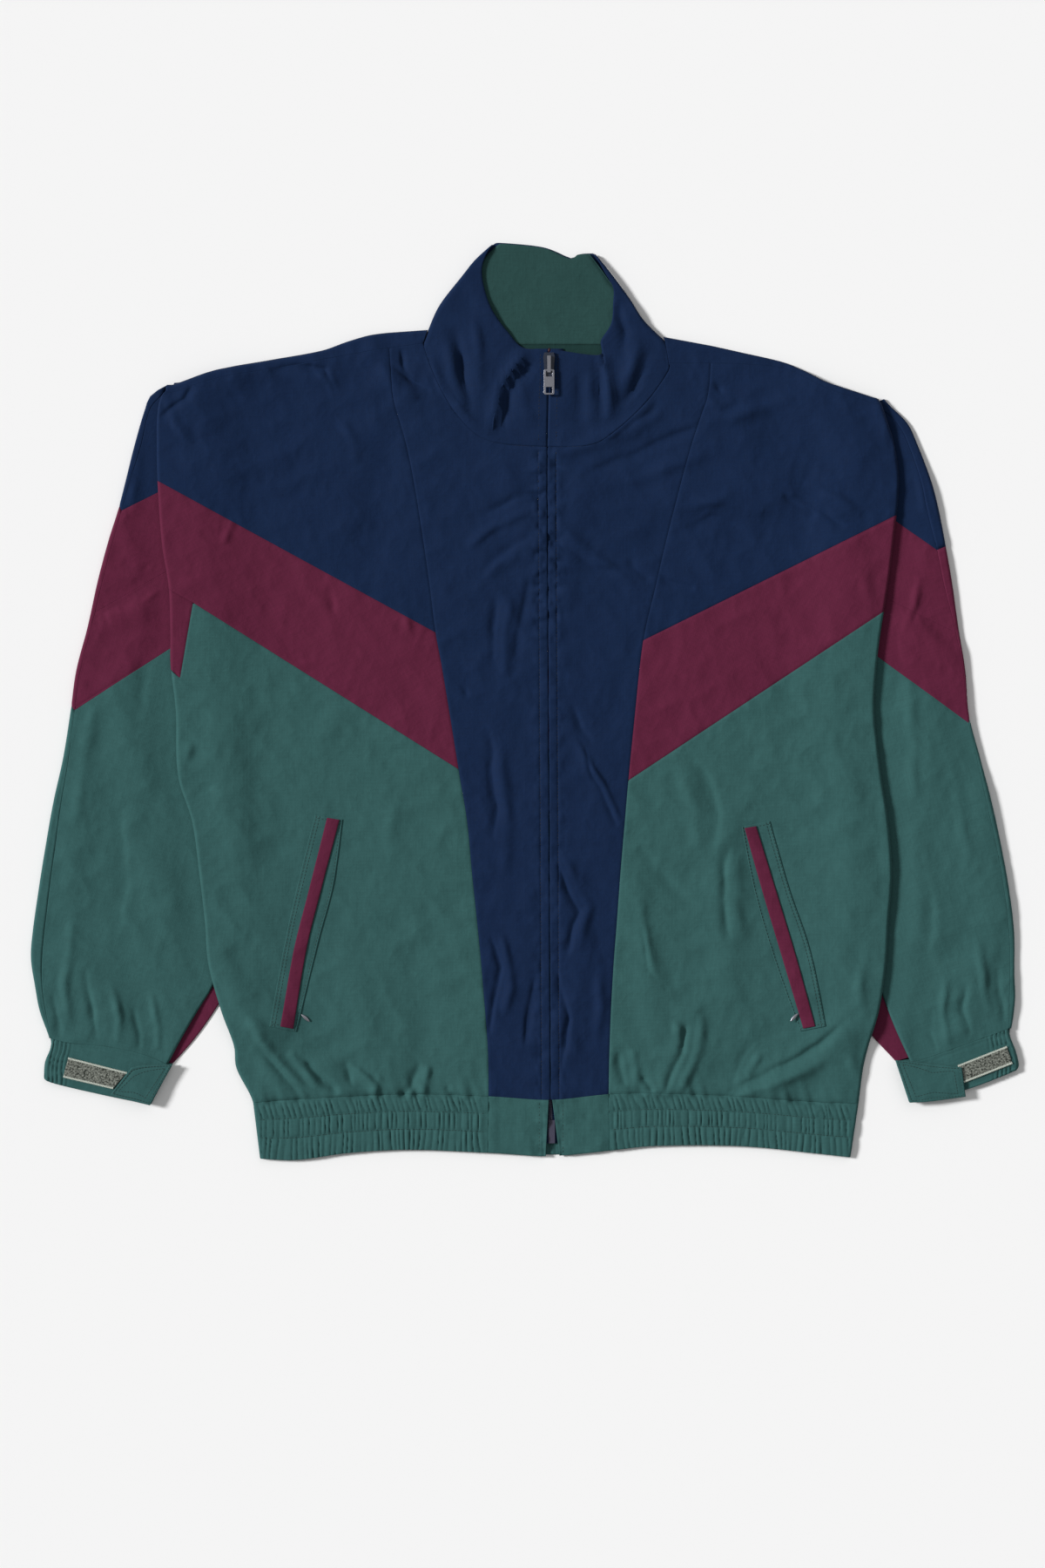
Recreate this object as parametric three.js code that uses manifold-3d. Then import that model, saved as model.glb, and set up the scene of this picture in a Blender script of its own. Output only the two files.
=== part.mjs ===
import * as THREE from 'three';
import Module from 'manifold-3d';

// Windbreaker jacket laid flat on a surface. X runs across, +Y towards the collar, +Z up.
// All sizes are millimetres.

// Cloth walls and gaps
const clothWall = 1.5;
const thinWall = 1.1;
const cuffWall = 1.9;
const seamGap = 0.3;
const layerGap = 0.3;

// How the layers lie
const airUnderSleeve = 1.3;
const airUnderFront = 1.6;
const pinchedAir = 0.5;
const foldReach = 2.1;
const backLift = 3.9;
const liftWidth = 32;
const liftRamp = 16;
const rollRadius = 2.4;

// Trims
const zipTapeWidth = 12;
const zipTapeWall = 0.8;
const sliderLength = 21;
const sliderWidth = 10;
const sliderWall = 1.8;
const bridgeLength = 14.5;
const bridgeWidth = 3;
const bridgeTunnel = 1.9;
const bridgeWall = 1;
const pullLength = 21.6;
const pullWidth = 9;
const pullWall = 1.1;
const pullBar = 1.2;
const pullEye = 5;
const pullEyeWidth = 5.4;
const zipCentre = 20.6;

// Body sections, from the shoulders to the hem: sides, panel seams and zip line
const bodySections = [
  { y: 320, leftEdge: -303, leftSeam: -118, zip: 21, rightSeam: 161, rightEdge: 303 },
  { y: 276, leftEdge: -303, leftSeam: -115, zip: 20.6, rightSeam: 159, rightEdge: 303 },
  { y: 262.5, leftEdge: -313, leftSeam: -114, zip: 19.8, rightSeam: 157, rightEdge: 305.2 },
  { y: 248, leftEdge: -316.5, leftSeam: -110, zip: 19.5, rightSeam: 152, rightEdge: 310 },
  { y: 224, leftEdge: -317.2, leftSeam: -103, zip: 19.2, rightSeam: 144, rightEdge: 317.5 },
  { y: 190, leftEdge: -316.5, leftSeam: -96, zip: 19, rightSeam: 134.5, rightEdge: 321.8 },
  { y: 137, leftEdge: -312.8, leftSeam: -87.5, zip: 19.4, rightSeam: 121, rightEdge: 317 },
  { y: 98, leftEdge: -306.8, leftSeam: -82, zip: 19.6, rightSeam: 112, rightEdge: 312 },
  { y: 60, leftEdge: -305.5, leftSeam: -77.2, zip: 19.8, rightSeam: 103, rightEdge: 306 },
  { y: 32, leftEdge: -305.2, leftSeam: -72, zip: 20, rightSeam: 99, rightEdge: 302.8 },
  { y: -7, leftEdge: -301, leftSeam: -65.5, zip: 20.2, rightSeam: 95, rightEdge: 300.8 },
  { y: -63, leftEdge: -299, leftSeam: -56.5, zip: 20.5, rightSeam: 89.4, rightEdge: 306.8 },
  { y: -102, leftEdge: -287, leftSeam: -50, zip: 20.8, rightSeam: 86, rightEdge: 312.8 },
  { y: -149, leftEdge: -280.5, leftSeam: -45.5, zip: 21, rightSeam: 82, rightEdge: 316 },
  { y: -190, leftEdge: -275.8, leftSeam: -41.2, zip: 21.2, rightSeam: 79, rightEdge: 313 },
  { y: -225, leftEdge: -273, leftSeam: -37.8, zip: 21.3, rightSeam: 76.3, rightEdge: 311 },
  { y: -265, leftEdge: -262, leftSeam: -34.5, zip: 21.5, rightSeam: 74, rightEdge: 305 },
  { y: -296, leftEdge: -251, leftSeam: -32.2, zip: 21.7, rightSeam: 72.8, rightEdge: 296 },
  { y: -315, leftEdge: -249, leftSeam: -31.6, zip: 21.8, rightSeam: 72.3, rightEdge: 291.5 },
  { y: -345, leftEdge: -234.5, leftSeam: -31.5, zip: 22, rightSeam: 72, rightEdge: 287.5 },
  { y: -396, leftEdge: -228, leftSeam: -31.8, zip: 24, rightSeam: 72.6, rightEdge: 280 },
];

// Sleeve sections: outer fold, seam just inside it, inner edge of the front, edge of the underarm panel
const leftSleeveSections = [
  { y: 276, fold: -303.5, seam: -303, inner: -297, underarm: -289 },
  { y: 264.8, fold: -322, seam: -312.8, inner: -297, underarm: -288 },
  { y: 252.8, fold: -327.6, seam: -323, inner: -298, underarm: -289 },
  { y: 220.5, fold: -337, seam: -331, inner: -299, underarm: -290 },
  { y: 190, fold: -344.5, seam: -340.5, inner: -298, underarm: -289 },
  { y: 165, fold: -351, seam: -347.5, inner: -297, underarm: -288 },
  { y: 139, fold: -359.2, seam: -354.8, inner: -295, underarm: -286 },
  { y: 102, fold: -369, seam: -364.5, inner: -290, underarm: -281 },
  { y: 64.5, fold: -377.2, seam: -373.5, inner: -288, underarm: -279 },
  { y: 27, fold: -387, seam: -383, inner: -287, underarm: -278 },
  { y: -10.5, fold: -392.2, seam: -388.5, inner: -283, underarm: -274 },
  { y: -48, fold: -398.2, seam: -393, inner: -281, underarm: -272 },
  { y: -85.5, fold: -406.5, seam: -399.3, inner: -275, underarm: -266 },
  { y: -123, fold: -413.2, seam: -404.5, inner: -266, underarm: -257 },
  { y: -160.5, fold: -419.2, seam: -409.5, inner: -262, underarm: -253 },
  { y: -198, fold: -424.5, seam: -414, inner: -259, underarm: -249 },
  { y: -220.5, fold: -426, seam: -416, inner: -261, underarm: -249 },
  { y: -244.5, fold: -422.5, seam: -416, inner: -269.2, underarm: -255.8 },
  { y: -265.5, fold: -418.5, seam: -413, inner: -282, underarm: -267.5 },
  { y: -289.5, fold: -410, seam: -408, inner: -296, underarm: -284.5 },
  { y: -312.5, fold: -404, seam: -402, inner: -308.2, underarm: -304.5 },
];
const rightSleeveSections = [
  { y: 276, fold: 300, seam: 299, inner: 292, underarm: 284 },
  { y: 258, fold: 312, seam: 301.5, inner: 292, underarm: 284 },
  { y: 241, fold: 329, seam: 320, inner: 296, underarm: 287 },
  { y: 225, fold: 337, seam: 329, inner: 300, underarm: 291 },
  { y: 190, fold: 350.2, seam: 341, inner: 304, underarm: 295 },
  { y: 163.5, fold: 357, seam: 346.5, inner: 302, underarm: 293 },
  { y: 131, fold: 363.2, seam: 354.8, inner: 299, underarm: 290 },
  { y: 102, fold: 368.2, seam: 360.7, inner: 295, underarm: 286 },
  { y: 64.5, fold: 373.5, seam: 370.2, inner: 288, underarm: 279 },
  { y: 27, fold: 379.5, seam: 377.5, inner: 284, underarm: 275 },
  { y: -10.5, fold: 382.5, seam: 380.8, inner: 283, underarm: 274 },
  { y: -48, fold: 392.2, seam: 389.2, inner: 287, underarm: 278 },
  { y: -85.5, fold: 402, seam: 397.3, inner: 292, underarm: 283 },
  { y: -123, fold: 410.2, seam: 405.8, inner: 297, underarm: 288 },
  { y: -160.5, fold: 417, seam: 412.5, inner: 298, underarm: 289 },
  { y: -198, fold: 421.5, seam: 417, inner: 297, underarm: 287 },
  { y: -235.5, fold: 421.8, seam: 417.8, inner: 302, underarm: 286 },
  { y: -255, fold: 422.4, seam: 417.4, inner: 309, underarm: 289 },
  { y: -281, fold: 419, seam: 416.4, inner: 319, underarm: 294.5 },
  { y: -309.8, fold: 410, seam: 408, inner: 332.2, underarm: 320.2 },
];

// Shoulders: top fold and the seam in front of it
const leftShoulder = [
  { x: -303, fold: 276, seam: 268.5 },
  { x: -264.8, fold: 286.5, seam: 278.8 },
  { x: -219.8, fold: 294.8, seam: 286.8 },
  { x: -174.8, fold: 303, seam: 295 },
  { x: -152.2, fold: 311, seam: 299 },
  { x: -129.8, fold: 317, seam: 303 },
  { x: -88, fold: 320.6, seam: 309 },
];
const rightShoulder = [
  { x: 121, fold: 314.8, seam: 291.8 },
  { x: 147.8, fold: 309.8, seam: 291.8 },
  { x: 185.2, fold: 301.5, seam: 291.2 },
  { x: 222.8, fold: 292.5, seam: 287.5 },
  { x: 241.5, fold: 284.8, seam: 279.5 },
  { x: 260.2, fold: 275.5, seam: 270 },
  { x: 303, fold: 263, seam: 257.6 },
];

// Collar outlines
const neckSeam = [
  { x: -87.8, y: 310.5 }, { x: -78.8, y: 282.8 }, { x: -62.2, y: 252 }, { x: -40.5, y: 229.5 },
  { x: -17.2, y: 222 }, { x: 20.2, y: 219.8 }, { x: 52.5, y: 220.5 }, { x: 72.8, y: 229.5 },
  { x: 103.5, y: 257.2 }, { x: 123, y: 284.2 }, { x: 120.5, y: 311 },
];
const collarSideLeft = [
  { x: -87.8, y: 310.5 }, { x: -83.2, y: 321 }, { x: -73.1, y: 342.8 }, { x: -53.2, y: 368.2 },
  { x: -42, y: 381.8 }, { x: -27, y: 395 },
];
const collarSideRight = [
  { x: 120.5, y: 311 }, { x: 101.2, y: 330 }, { x: 88.5, y: 349.5 }, { x: 70.5, y: 373.5 },
  { x: 59.2, y: 387 },
];
const collarTop = [
  { x: -27, y: 395 }, { x: -20.2, y: 396 }, { x: 15.8, y: 392.2 }, { x: 39.8, y: 382.8 },
  { x: 48, y: 386.4 }, { x: 59.2, y: 387 },
];
const collarMouthLeft = [
  { x: -27, y: 395 }, { x: -33, y: 386.2 }, { x: -37.1, y: 373.5 }, { x: -35.2, y: 357 },
  { x: -27.8, y: 336.8 }, { x: -13.5, y: 317.2 }, { x: 0.8, y: 301.5 }, { x: 20.2, y: 304.5 },
];
const collarMouthRight = [
  { x: 59.2, y: 387 }, { x: 68.6, y: 369.8 }, { x: 75.8, y: 357 }, { x: 75.8, y: 344.2 },
  { x: 74.2, y: 326.2 }, { x: 65.2, y: 311.2 }, { x: 63.8, y: 299 }, { x: 20.9, y: 304.5 },
];

// Hem band: where it joins the body and its lower edge
const hemBand = [
  { x: -234.5, join: -345, low: -393 },
  { x: -197.2, join: -342, low: -394.4 },
  { x: -152.2, join: -339.5, low: -388.4 },
  { x: -99.8, join: -337.5, low: -385.6 },
  { x: -31.5, join: -339.4, low: -388.2 },
  { x: 22, join: -342.4, low: -391 },
  { x: 72, join: -337.6, low: -386.5 },
  { x: 110.2, join: -336.6, low: -382.4 },
  { x: 185.2, join: -339.6, low: -382.4 },
  { x: 252.8, join: -344.6, low: -389 },
  { x: 287.5, join: -345.4, low: -393 },
];

// Soft folds of the fronts: ridge from start to end, height above the cloth, half width
const frontFolds = [
  { x1: -285, y1: 262, x2: -250, y2: 205, width: 13, height: 1.6 },
  { x1: -245, y1: 283, x2: -165, y2: 290, width: 10, height: 1.2 },
  { x1: -205, y1: 262, x2: -150, y2: 245, width: 14, height: -1.5 },
  { x1: -128, y1: 300, x2: -100, y2: 262, width: 12, height: 1.5 },
  { x1: -240, y1: 190, x2: -150, y2: 160, width: 20, height: 1.3 },
  { x1: -120, y1: 215, x2: -140, y2: 120, width: 16, height: -1.2 },
  { x1: 125, y1: 258, x2: 190, y2: 225, width: 14, height: 1.5 },
  { x1: 120, y1: 142, x2: 232, y2: 146, width: 15, height: -1.8 },
  { x1: 130, y1: 178, x2: 215, y2: 182, width: 18, height: 1.4 },
  { x1: 232, y1: 262, x2: 290, y2: 215, width: 15, height: 1.3 },
  { x1: 262, y1: 170, x2: 285, y2: 70, width: 17, height: 1.2 },
  { x1: -20, y1: 195, x2: 10, y2: 120, width: 12, height: 1.2 },
  { x1: 50, y1: 185, x2: 34, y2: 90, width: 12, height: 1.3 },
  { x1: -225, y1: 60, x2: -140, y2: -20, width: 22, height: -1.2 },
  { x1: -262, y1: -20, x2: -245, y2: -120, width: 15, height: 1.5 },
  { x1: -268, y1: -222, x2: -205, y2: -330, width: 13, height: 1.9 },
  { x1: -240, y1: -215, x2: -172, y2: -325, width: 14, height: -1.5 },
  { x1: -218, y1: -262, x2: -160, y2: -334, width: 12, height: 2 },
  { x1: -150, y1: -240, x2: -118, y2: -330, width: 14, height: 1.2 },
  { x1: -92, y1: -225, x2: -78, y2: -330, width: 12, height: -1.2 },
  { x1: 30, y1: -145, x2: 46, y2: -205, width: 10, height: 1.6 },
  { x1: 46, y1: -205, x2: 36, y2: -300, width: 10, height: 1.4 },
  { x1: 98, y1: -168, x2: 114, y2: -284, width: 12, height: 1.6 },
  { x1: 172, y1: -115, x2: 174, y2: -250, width: 15, height: 1.4 },
  { x1: 205, y1: -100, x2: 215, y2: -200, width: 18, height: -1.2 },
  { x1: 298, y1: -280, x2: 205, y2: -333, width: 12, height: 2 },
  { x1: 262, y1: -262, x2: 168, y2: -322, width: 12, height: -1.4 },
  { x1: 142, y1: -270, x2: 118, y2: -334, width: 11, height: 1.6 },
  { x1: 275, y1: -60, x2: 292, y2: -170, width: 15, height: 1.4 },
  { x1: 150, y1: 20, x2: 240, y2: -40, width: 24, height: 1.1 },
];
const collarFolds = [
  { x1: -10, y1: 286, x2: -28, y2: 240, width: 9, height: -1 },
  { x1: -44, y1: 300, x2: -50, y2: 250, width: 10, height: 1.1 },
  { x1: -62, y1: 318, x2: -46, y2: 262, width: 7, height: -0.9 },
  { x1: 72, y1: 300, x2: 78, y2: 248, width: 8, height: -0.9 },
  { x1: 98, y1: 300, x2: 92, y2: 262, width: 10, height: 1 },
];
const sleeveFolds = [
  { x1: -372, y1: 80, x2: -300, y2: 116, width: 9, height: -1.1 },
  { x1: -368, y1: 60, x2: -318, y2: 84, width: 10, height: 1.2 },
  { x1: -352, y1: 20, x2: -330, y2: -70, width: 14, height: 1.2 },
  { x1: -385, y1: -60, x2: -392, y2: -170, width: 13, height: 1.2 },
  { x1: -340, y1: -110, x2: -300, y2: -180, width: 14, height: 1.3 },
  { x1: -395, y1: -215, x2: -350, y2: -285, width: 13, height: 1.3 },
  { x1: -340, y1: -215, x2: -318, y2: -290, width: 12, height: -1.1 },
  { x1: 372, y1: 60, x2: 312, y2: 94, width: 9, height: -1.1 },
  { x1: 366, y1: 40, x2: 322, y2: 70, width: 10, height: 1.2 },
  { x1: 348, y1: 5, x2: 352, y2: -80, width: 13, height: 1.2 },
  { x1: 392, y1: -80, x2: 404, y2: -190, width: 12, height: 1.2 },
  { x1: 330, y1: -120, x2: 350, y2: -200, width: 14, height: 1.3 },
  { x1: 398, y1: -215, x2: 372, y2: -285, width: 13, height: 1.3 },
  { x1: 345, y1: -225, x2: 342, y2: -298, width: 11, height: -1.1 },
];

// Gathers: how many waves, how deep, and over what length of the cuff
const hemGathers = { left: 38, right: 38, depth: 0.75 };
const cuffGathers = { count: 4, length: 18, depth: 0.6 };

// Cloth colours
const navy = { color: 0x1c2844, roughness: 0.78, name: 'navy_cloth' };
const maroon = { color: 0x5c263a, roughness: 0.78, name: 'maroon_cloth' };
const green = { color: 0x395a58, roughness: 0.78, name: 'green_cloth' };
const greenDark = { color: 0x2f4f4a, roughness: 0.8, name: 'green_inside' };
const olive = { color: 0x61655e, roughness: 0.9, name: 'hook_tape' };
const steel = { color: 0xb9bcc2, roughness: 0.3, metalness: 0.95, name: 'steel' };
const darkPlastic = { color: 0x3b3550, roughness: 0.45, name: 'zip_plastic' };

const jacket = new THREE.Group();
jacket.name = 'windbreaker_jacket';

function makeMaterial(look) {
  const material = new THREE.MeshStandardMaterial({
    color: look.color,
    roughness: look.roughness,
    metalness: look.metalness ?? 0,
  });
  material.name = look.name;
  return material;
}

// Smooth value of one named column of a table at a given level
function column(table, key, level, name) {
  const rising = table[1][key] > table[0][key];
  const rows = rising ? table : [...table].reverse();
  const last = rows.length - 1;
  let i = 0;
  while (i < last - 1 && rows[i + 1][key] < level) i += 1;
  const a = rows[i];
  const b = rows[i + 1];
  const before = rows[Math.max(i - 1, 0)];
  const after = rows[Math.min(i + 2, last)];
  const span = b[key] - a[key];
  const t = Math.min(Math.max((level - a[key]) / span, 0), 1);
  const slopeA = (b[name] - before[name]) / Math.max(b[key] - before[key], 1e-6) * span;
  const slopeB = (after[name] - a[name]) / Math.max(after[key] - a[key], 1e-6) * span;
  const t2 = t * t;
  const t3 = t2 * t;
  return (2 * t3 - 3 * t2 + 1) * a[name] + (t3 - 2 * t2 + t) * slopeA
    + (3 * t2 - 2 * t3) * b[name] + (t3 - t2) * slopeB;
}

function smooth(from, to, value) {
  const t = Math.min(Math.max((value - from) / (to - from), 0), 1);
  return t * t * (3 - 2 * t);
}

const bodyEdge = (name, y) => column(bodySections, 'y', y, name);

// Height that a table of folds adds at a point, kept within its reach
function foldHeight(table, x, y) {
  let sum = 0;
  for (const fold of table) {
    const dx = fold.x2 - fold.x1;
    const dy = fold.y2 - fold.y1;
    const length = Math.hypot(dx, dy);
    const alongIt = ((x - fold.x1) * dx + (y - fold.y1) * dy) / (length * length);
    const aside = ((x - fold.x1) * dy - (y - fold.y1) * dx) / length;
    const past = Math.max(0, -alongIt, alongIt - 1) * length;
    const d2 = (aside * aside + past * past) / (fold.width * fold.width);
    if (d2 < 9) sum += fold.height * Math.exp(-d2);
  }
  return foldReach * Math.tanh(sum / foldReach);
}

// Mid-surface levels of the layers
const floorLevel = clothWall / 2;

function inwardFromEdge(x, y) {
  const left = x - bodyEdge('leftEdge', y);
  const right = bodyEdge('rightEdge', y) - x;
  return Math.min(left, right);
}
function backLevel(x, y) {
  const inward = inwardFromEdge(x, y);
  const near = 1 - smooth(liftWidth, liftWidth + liftRamp, inward);
  const beside = smooth(-305, -275, y);
  return floorLevel + backLift * near * beside;
}
function frontLevel(x, y) {
  const back = backLevel(x, y);
  const zipRise = 0.5 * Math.exp(-((x - 20.6) ** 2) / 200);
  const inCollar = smooth(-100, -60, x) * (1 - smooth(95, 130, x));
  const collarRise = 1.3 * smooth(232, 300, y) * inCollar;
  const folds = foldHeight(frontFolds, x, y) * (1 - smooth(225, 262, y) * inCollar);
  const sideCalm = smooth(0, 26, inwardFromEdge(x, y));
  const collar = foldHeight(collarFolds, x, y) * inCollar;
  const room = airUnderFront + Math.max(-0.9, folds * (0.35 + 0.65 * sideCalm));
  return back + clothWall + room + zipRise + collarRise + collar * 0.8;
}
function sleeveLevel(x, y) {
  const outside = -inwardFromEdge(x, y);
  const open = smooth(6, 30, outside);
  const folds = foldHeight(sleeveFolds, x, y);
  return floorLevel + clothWall + pinchedAir + open * (airUnderSleeve + Math.max(-0.9, folds));
}

// Resample a list of rows with x and y as a smooth line
function line(points, count) {
  const curve = new THREE.SplineCurve(points.map((p) => new THREE.Vector2(p.x, p.y)));
  return curve.getSpacedPoints(count);
}
function straight(a, b, count) {
  const out = [];
  for (let i = 0; i <= count; i += 1) out.push(new THREE.Vector2().lerpVectors(a, b, i / count));
  return out;
}
function levelLine(table, name, from, to, count) {
  const out = [];
  for (let i = 0; i <= count; i += 1) {
    const y = from + (to - from) * i / count;
    out.push(new THREE.Vector2(column(table, 'y', y, name), y));
  }
  return out;
}
function widthLine(table, name, from, to, count) {
  const out = [];
  for (let i = 0; i <= count; i += 1) {
    const x = from + (to - from) * i / count;
    out.push(new THREE.Vector2(x, column(table, 'x', x, name)));
  }
  return out;
}
const spot = (x, y) => new THREE.Vector2(x, y);

// Share of its length at which each point of an outline lies
function shares(points) {
  const sums = [0];
  for (let i = 1; i < points.length; i += 1) {
    sums.push(sums[i - 1] + points[i].distanceTo(points[i - 1]) + 1e-6);
  }
  return sums.map((value) => value / sums[sums.length - 1]);
}

// Split each step of an outline in two
function halved(points) {
  const out = [points[0]];
  for (let i = 1; i < points.length; i += 1) {
    out.push(points[i - 1].clone().lerp(points[i], 0.5), points[i]);
  }
  return out;
}

// Points at given shares of a chain of straight steps
function alongChain(points, parts) {
  const at = shares(points);
  return parts.map((t) => {
    let i = 1;
    while (i < at.length - 1 && at[i] < t) i += 1;
    return points[i - 1].clone().lerp(points[i], (t - at[i - 1]) / (at[i] - at[i - 1]));
  });
}

// Grid of flat points between four outlines that share their corners
function between(top, bottom, left, right) {
  const rows = [];
  const nu = top.length - 1;
  const nv = left.length - 1;
  const us = shares(top).map((t, i) => (t + shares(bottom)[i]) / 2);
  const vs = shares(left).map((t, i) => (t + shares(right)[i]) / 2);
  for (let j = 0; j <= nv; j += 1) {
    const v = vs[j];
    const row = [];
    for (let i = 0; i <= nu; i += 1) {
      const u = us[i];
      const p = new THREE.Vector2();
      for (const axis of ['x', 'y']) {
        const ends = (1 - v) * top[i][axis] + v * bottom[i][axis];
        const sides = (1 - u) * left[j][axis] + u * right[j][axis];
        const corners = (1 - v) * ((1 - u) * top[0][axis] + u * top[nu][axis])
          + v * ((1 - u) * bottom[0][axis] + u * bottom[nu][axis]);
        p[axis] = ends + sides - corners;
      }
      row.push(p);
    }
    rows.push(row);
  }
  return rows;
}

const transpose = (rows) => rows[0].map((_, i) => rows.map((row) => row[i]));

// Move the first line of points inwards, square to the outline
function insetFirst(rows, amount) {
  const first = rows[0];
  const moved = first.map((p, i) => {
    const before = first[Math.max(i - 1, 0)];
    const after = first[Math.min(i + 1, first.length - 1)];
    const normal = spot(-(after.y - before.y), after.x - before.x).normalize();
    const inner = rows[1][i];
    if ((inner.x - p.x) * normal.x + (inner.y - p.y) * normal.y < 0) normal.negate();
    return spot(p.x + normal.x * amount, p.y + normal.y * amount);
  });
  return [moved, ...rows.slice(1)];
}

const rollAngles = [0, Math.PI / 6, Math.PI / 3, Math.PI / 2];

// Lines of points close to a rolled edge, spaced as on a quarter round
function rollFirst(rows, radius) {
  const lines = rollAngles.map((angle) => rows[0].map((p, i) => {
    const next = rows[1][i];
    const length = Math.hypot(next.x - p.x, next.y - p.y);
    const d = Math.min(radius * (1 - Math.cos(angle)), length * 0.9) / length;
    return spot(p.x + (next.x - p.x) * d, p.y + (next.y - p.y) * d);
  }));
  return [...lines, ...rows.slice(1)];
}

// Panel of cloth: flat grid, edge kinds (seam, roll, plain), level of the cloth and of its rolled edge
function panelRows(grid, edges, level, edgeLevel, wall) {
  let rows = grid;
  const inset = (kind) => (kind === 'seam' ? seamGap / 2 : kind === 'roll' ? wall / 2 : 0);
  const sides = ['top', 'left', 'bottom', 'right'];
  const marks = {};
  for (const side of sides) marks[side] = edges[side] ?? 'seam';
  rows = insetFirst(rows, inset(marks.top));
  rows = insetFirst(rows.slice().reverse(), inset(marks.bottom)).reverse();
  rows = transpose(rows);
  rows = insetFirst(rows, inset(marks.left));
  rows = insetFirst(rows.slice().reverse(), inset(marks.right)).reverse();
  const radius = edges.radius ?? rollRadius;
  if (marks.left === 'roll') rows = rollFirst(rows, radius);
  if (marks.right === 'roll') rows = rollFirst(rows.slice().reverse(), radius).reverse();
  rows = transpose(rows);
  if (marks.top === 'roll') rows = rollFirst(rows, radius);
  if (marks.bottom === 'roll') rows = rollFirst(rows.slice().reverse(), radius).reverse();
  const last = rollAngles.length - 1;
  const turn = (kind, index) => (kind === 'roll' && index < last ? Math.sin(rollAngles[index]) : 1);
  const nv = rows.length - 1;
  const nu = rows[0].length - 1;
  return rows.map((row, j) => row.map((p, i) => {
    const part = turn(marks.top, j) * turn(marks.bottom, nv - j)
      * turn(marks.left, i) * turn(marks.right, nu - i);
    const high = level(p.x, p.y);
    const low = part < 1 ? edgeLevel(p.x, p.y) : high;
    return new THREE.Vector3(p.x, p.y, low + (high - low) * part);
  }));
}

const tangentOfRow = (row) => new THREE.Vector3().subVectors(row[row.length - 1], row[0]);

// Closed wall of cloth about a grid of points
function wallSolid(rows, wall, kinds = {}) {
  const nv = rows.length;
  const nu = rows[0].length;
  const normals = rows.map((row, j) => row.map((p, i) => {
    const du = new THREE.Vector3().subVectors(row[Math.min(i + 1, nu - 1)], row[Math.max(i - 1, 0)]);
    const dv = new THREE.Vector3().subVectors(
      rows[Math.min(j + 1, nv - 1)][i], rows[Math.max(j - 1, 0)][i]);
    const normal = new THREE.Vector3().crossVectors(dv, du).normalize();
    const squares = [];
    if (j === 0) squares.push([kinds.top, du]);
    if (j === nv - 1) squares.push([kinds.bottom, du]);
    if (i === 0) squares.push([kinds.left, dv]);
    if (i === nu - 1) squares.push([kinds.right, dv]);
    for (const [kind, tangent] of squares) {
      if (kind === 'roll') {
        const outward = spot(-tangent.y, tangent.x).normalize();
        if (outward.x * normal.x + outward.y * normal.y < 0) outward.negate();
        normal.set(outward.x, outward.y, 0);
      }
    }
    for (const [kind, tangent] of squares) {
      if (kind !== 'roll') {
        const side = kind === 'square' ? tangentOfRow(row) : tangent;
        const sideways = new THREE.Vector3(-side.y, side.x, 0).normalize();
        normal.addScaledVector(sideways, -normal.dot(sideways)).normalize();
      }
    }
    return normal;
  }));
  const positions = [];
  for (const side of [0.5, -0.5]) {
    for (let j = 0; j < nv; j += 1) {
      for (let i = 0; i < nu; i += 1) {
        const p = rows[j][i].clone().addScaledVector(normals[j][i], side * wall);
        positions.push(p.x, p.y, p.z);
      }
    }
  }
  const lower = nu * nv;
  const index = [];
  const at = (j, i) => j * nu + i;
  for (let j = 0; j < nv - 1; j += 1) {
    for (let i = 0; i < nu - 1; i += 1) {
      const a = at(j, i);
      const b = at(j + 1, i);
      const c = at(j + 1, i + 1);
      const d = at(j, i + 1);
      index.push(a, b, c, a, c, d);
      index.push(lower + a, lower + c, lower + b, lower + a, lower + d, lower + c);
    }
  }
  const rim = [];
  for (let i = 0; i < nu - 1; i += 1) rim.push([at(0, i + 1), at(0, i)]);
  for (let j = 0; j < nv - 1; j += 1) rim.push([at(j, 0), at(j + 1, 0)]);
  for (let i = 0; i < nu - 1; i += 1) rim.push([at(nv - 1, i), at(nv - 1, i + 1)]);
  for (let j = nv - 1; j > 0; j -= 1) rim.push([at(j, nu - 1), at(j - 1, nu - 1)]);
  for (const [a, b] of rim) index.push(a, lower + a, lower + b, a, lower + b, b);
  return closedGeometry(positions, index);
}

function closedGeometry(positions, index) {
  let volume = 0;
  const at = (k) => new THREE.Vector3().fromArray(positions, k * 3);
  for (let k = 0; k < index.length; k += 3) {
    volume += at(index[k]).dot(at(index[k + 1]).cross(at(index[k + 2])));
  }
  if (volume < 0) {
    for (let k = 0; k < index.length; k += 3) {
      const keep = index[k + 1];
      index[k + 1] = index[k + 2];
      index[k + 2] = keep;
    }
  }
  const geometry = new THREE.BufferGeometry();
  geometry.setAttribute('position', new THREE.Float32BufferAttribute(positions, 3));
  geometry.setIndex(index);
  geometry.computeVertexNormals();
  return geometry;
}

function addPiece(name, geometry, look) {
  const mesh = new THREE.Mesh(geometry, makeMaterial(look));
  mesh.name = name;
  jacket.add(mesh);
  return mesh;
}

function addPanel(name, grid, edges, level, edgeLevel, look, wall = clothWall) {
  const rows = panelRows(grid, edges, level, edgeLevel, wall);
  addPiece(name, wallSolid(rows, wall, edges), look);
  return rows;
}

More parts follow.
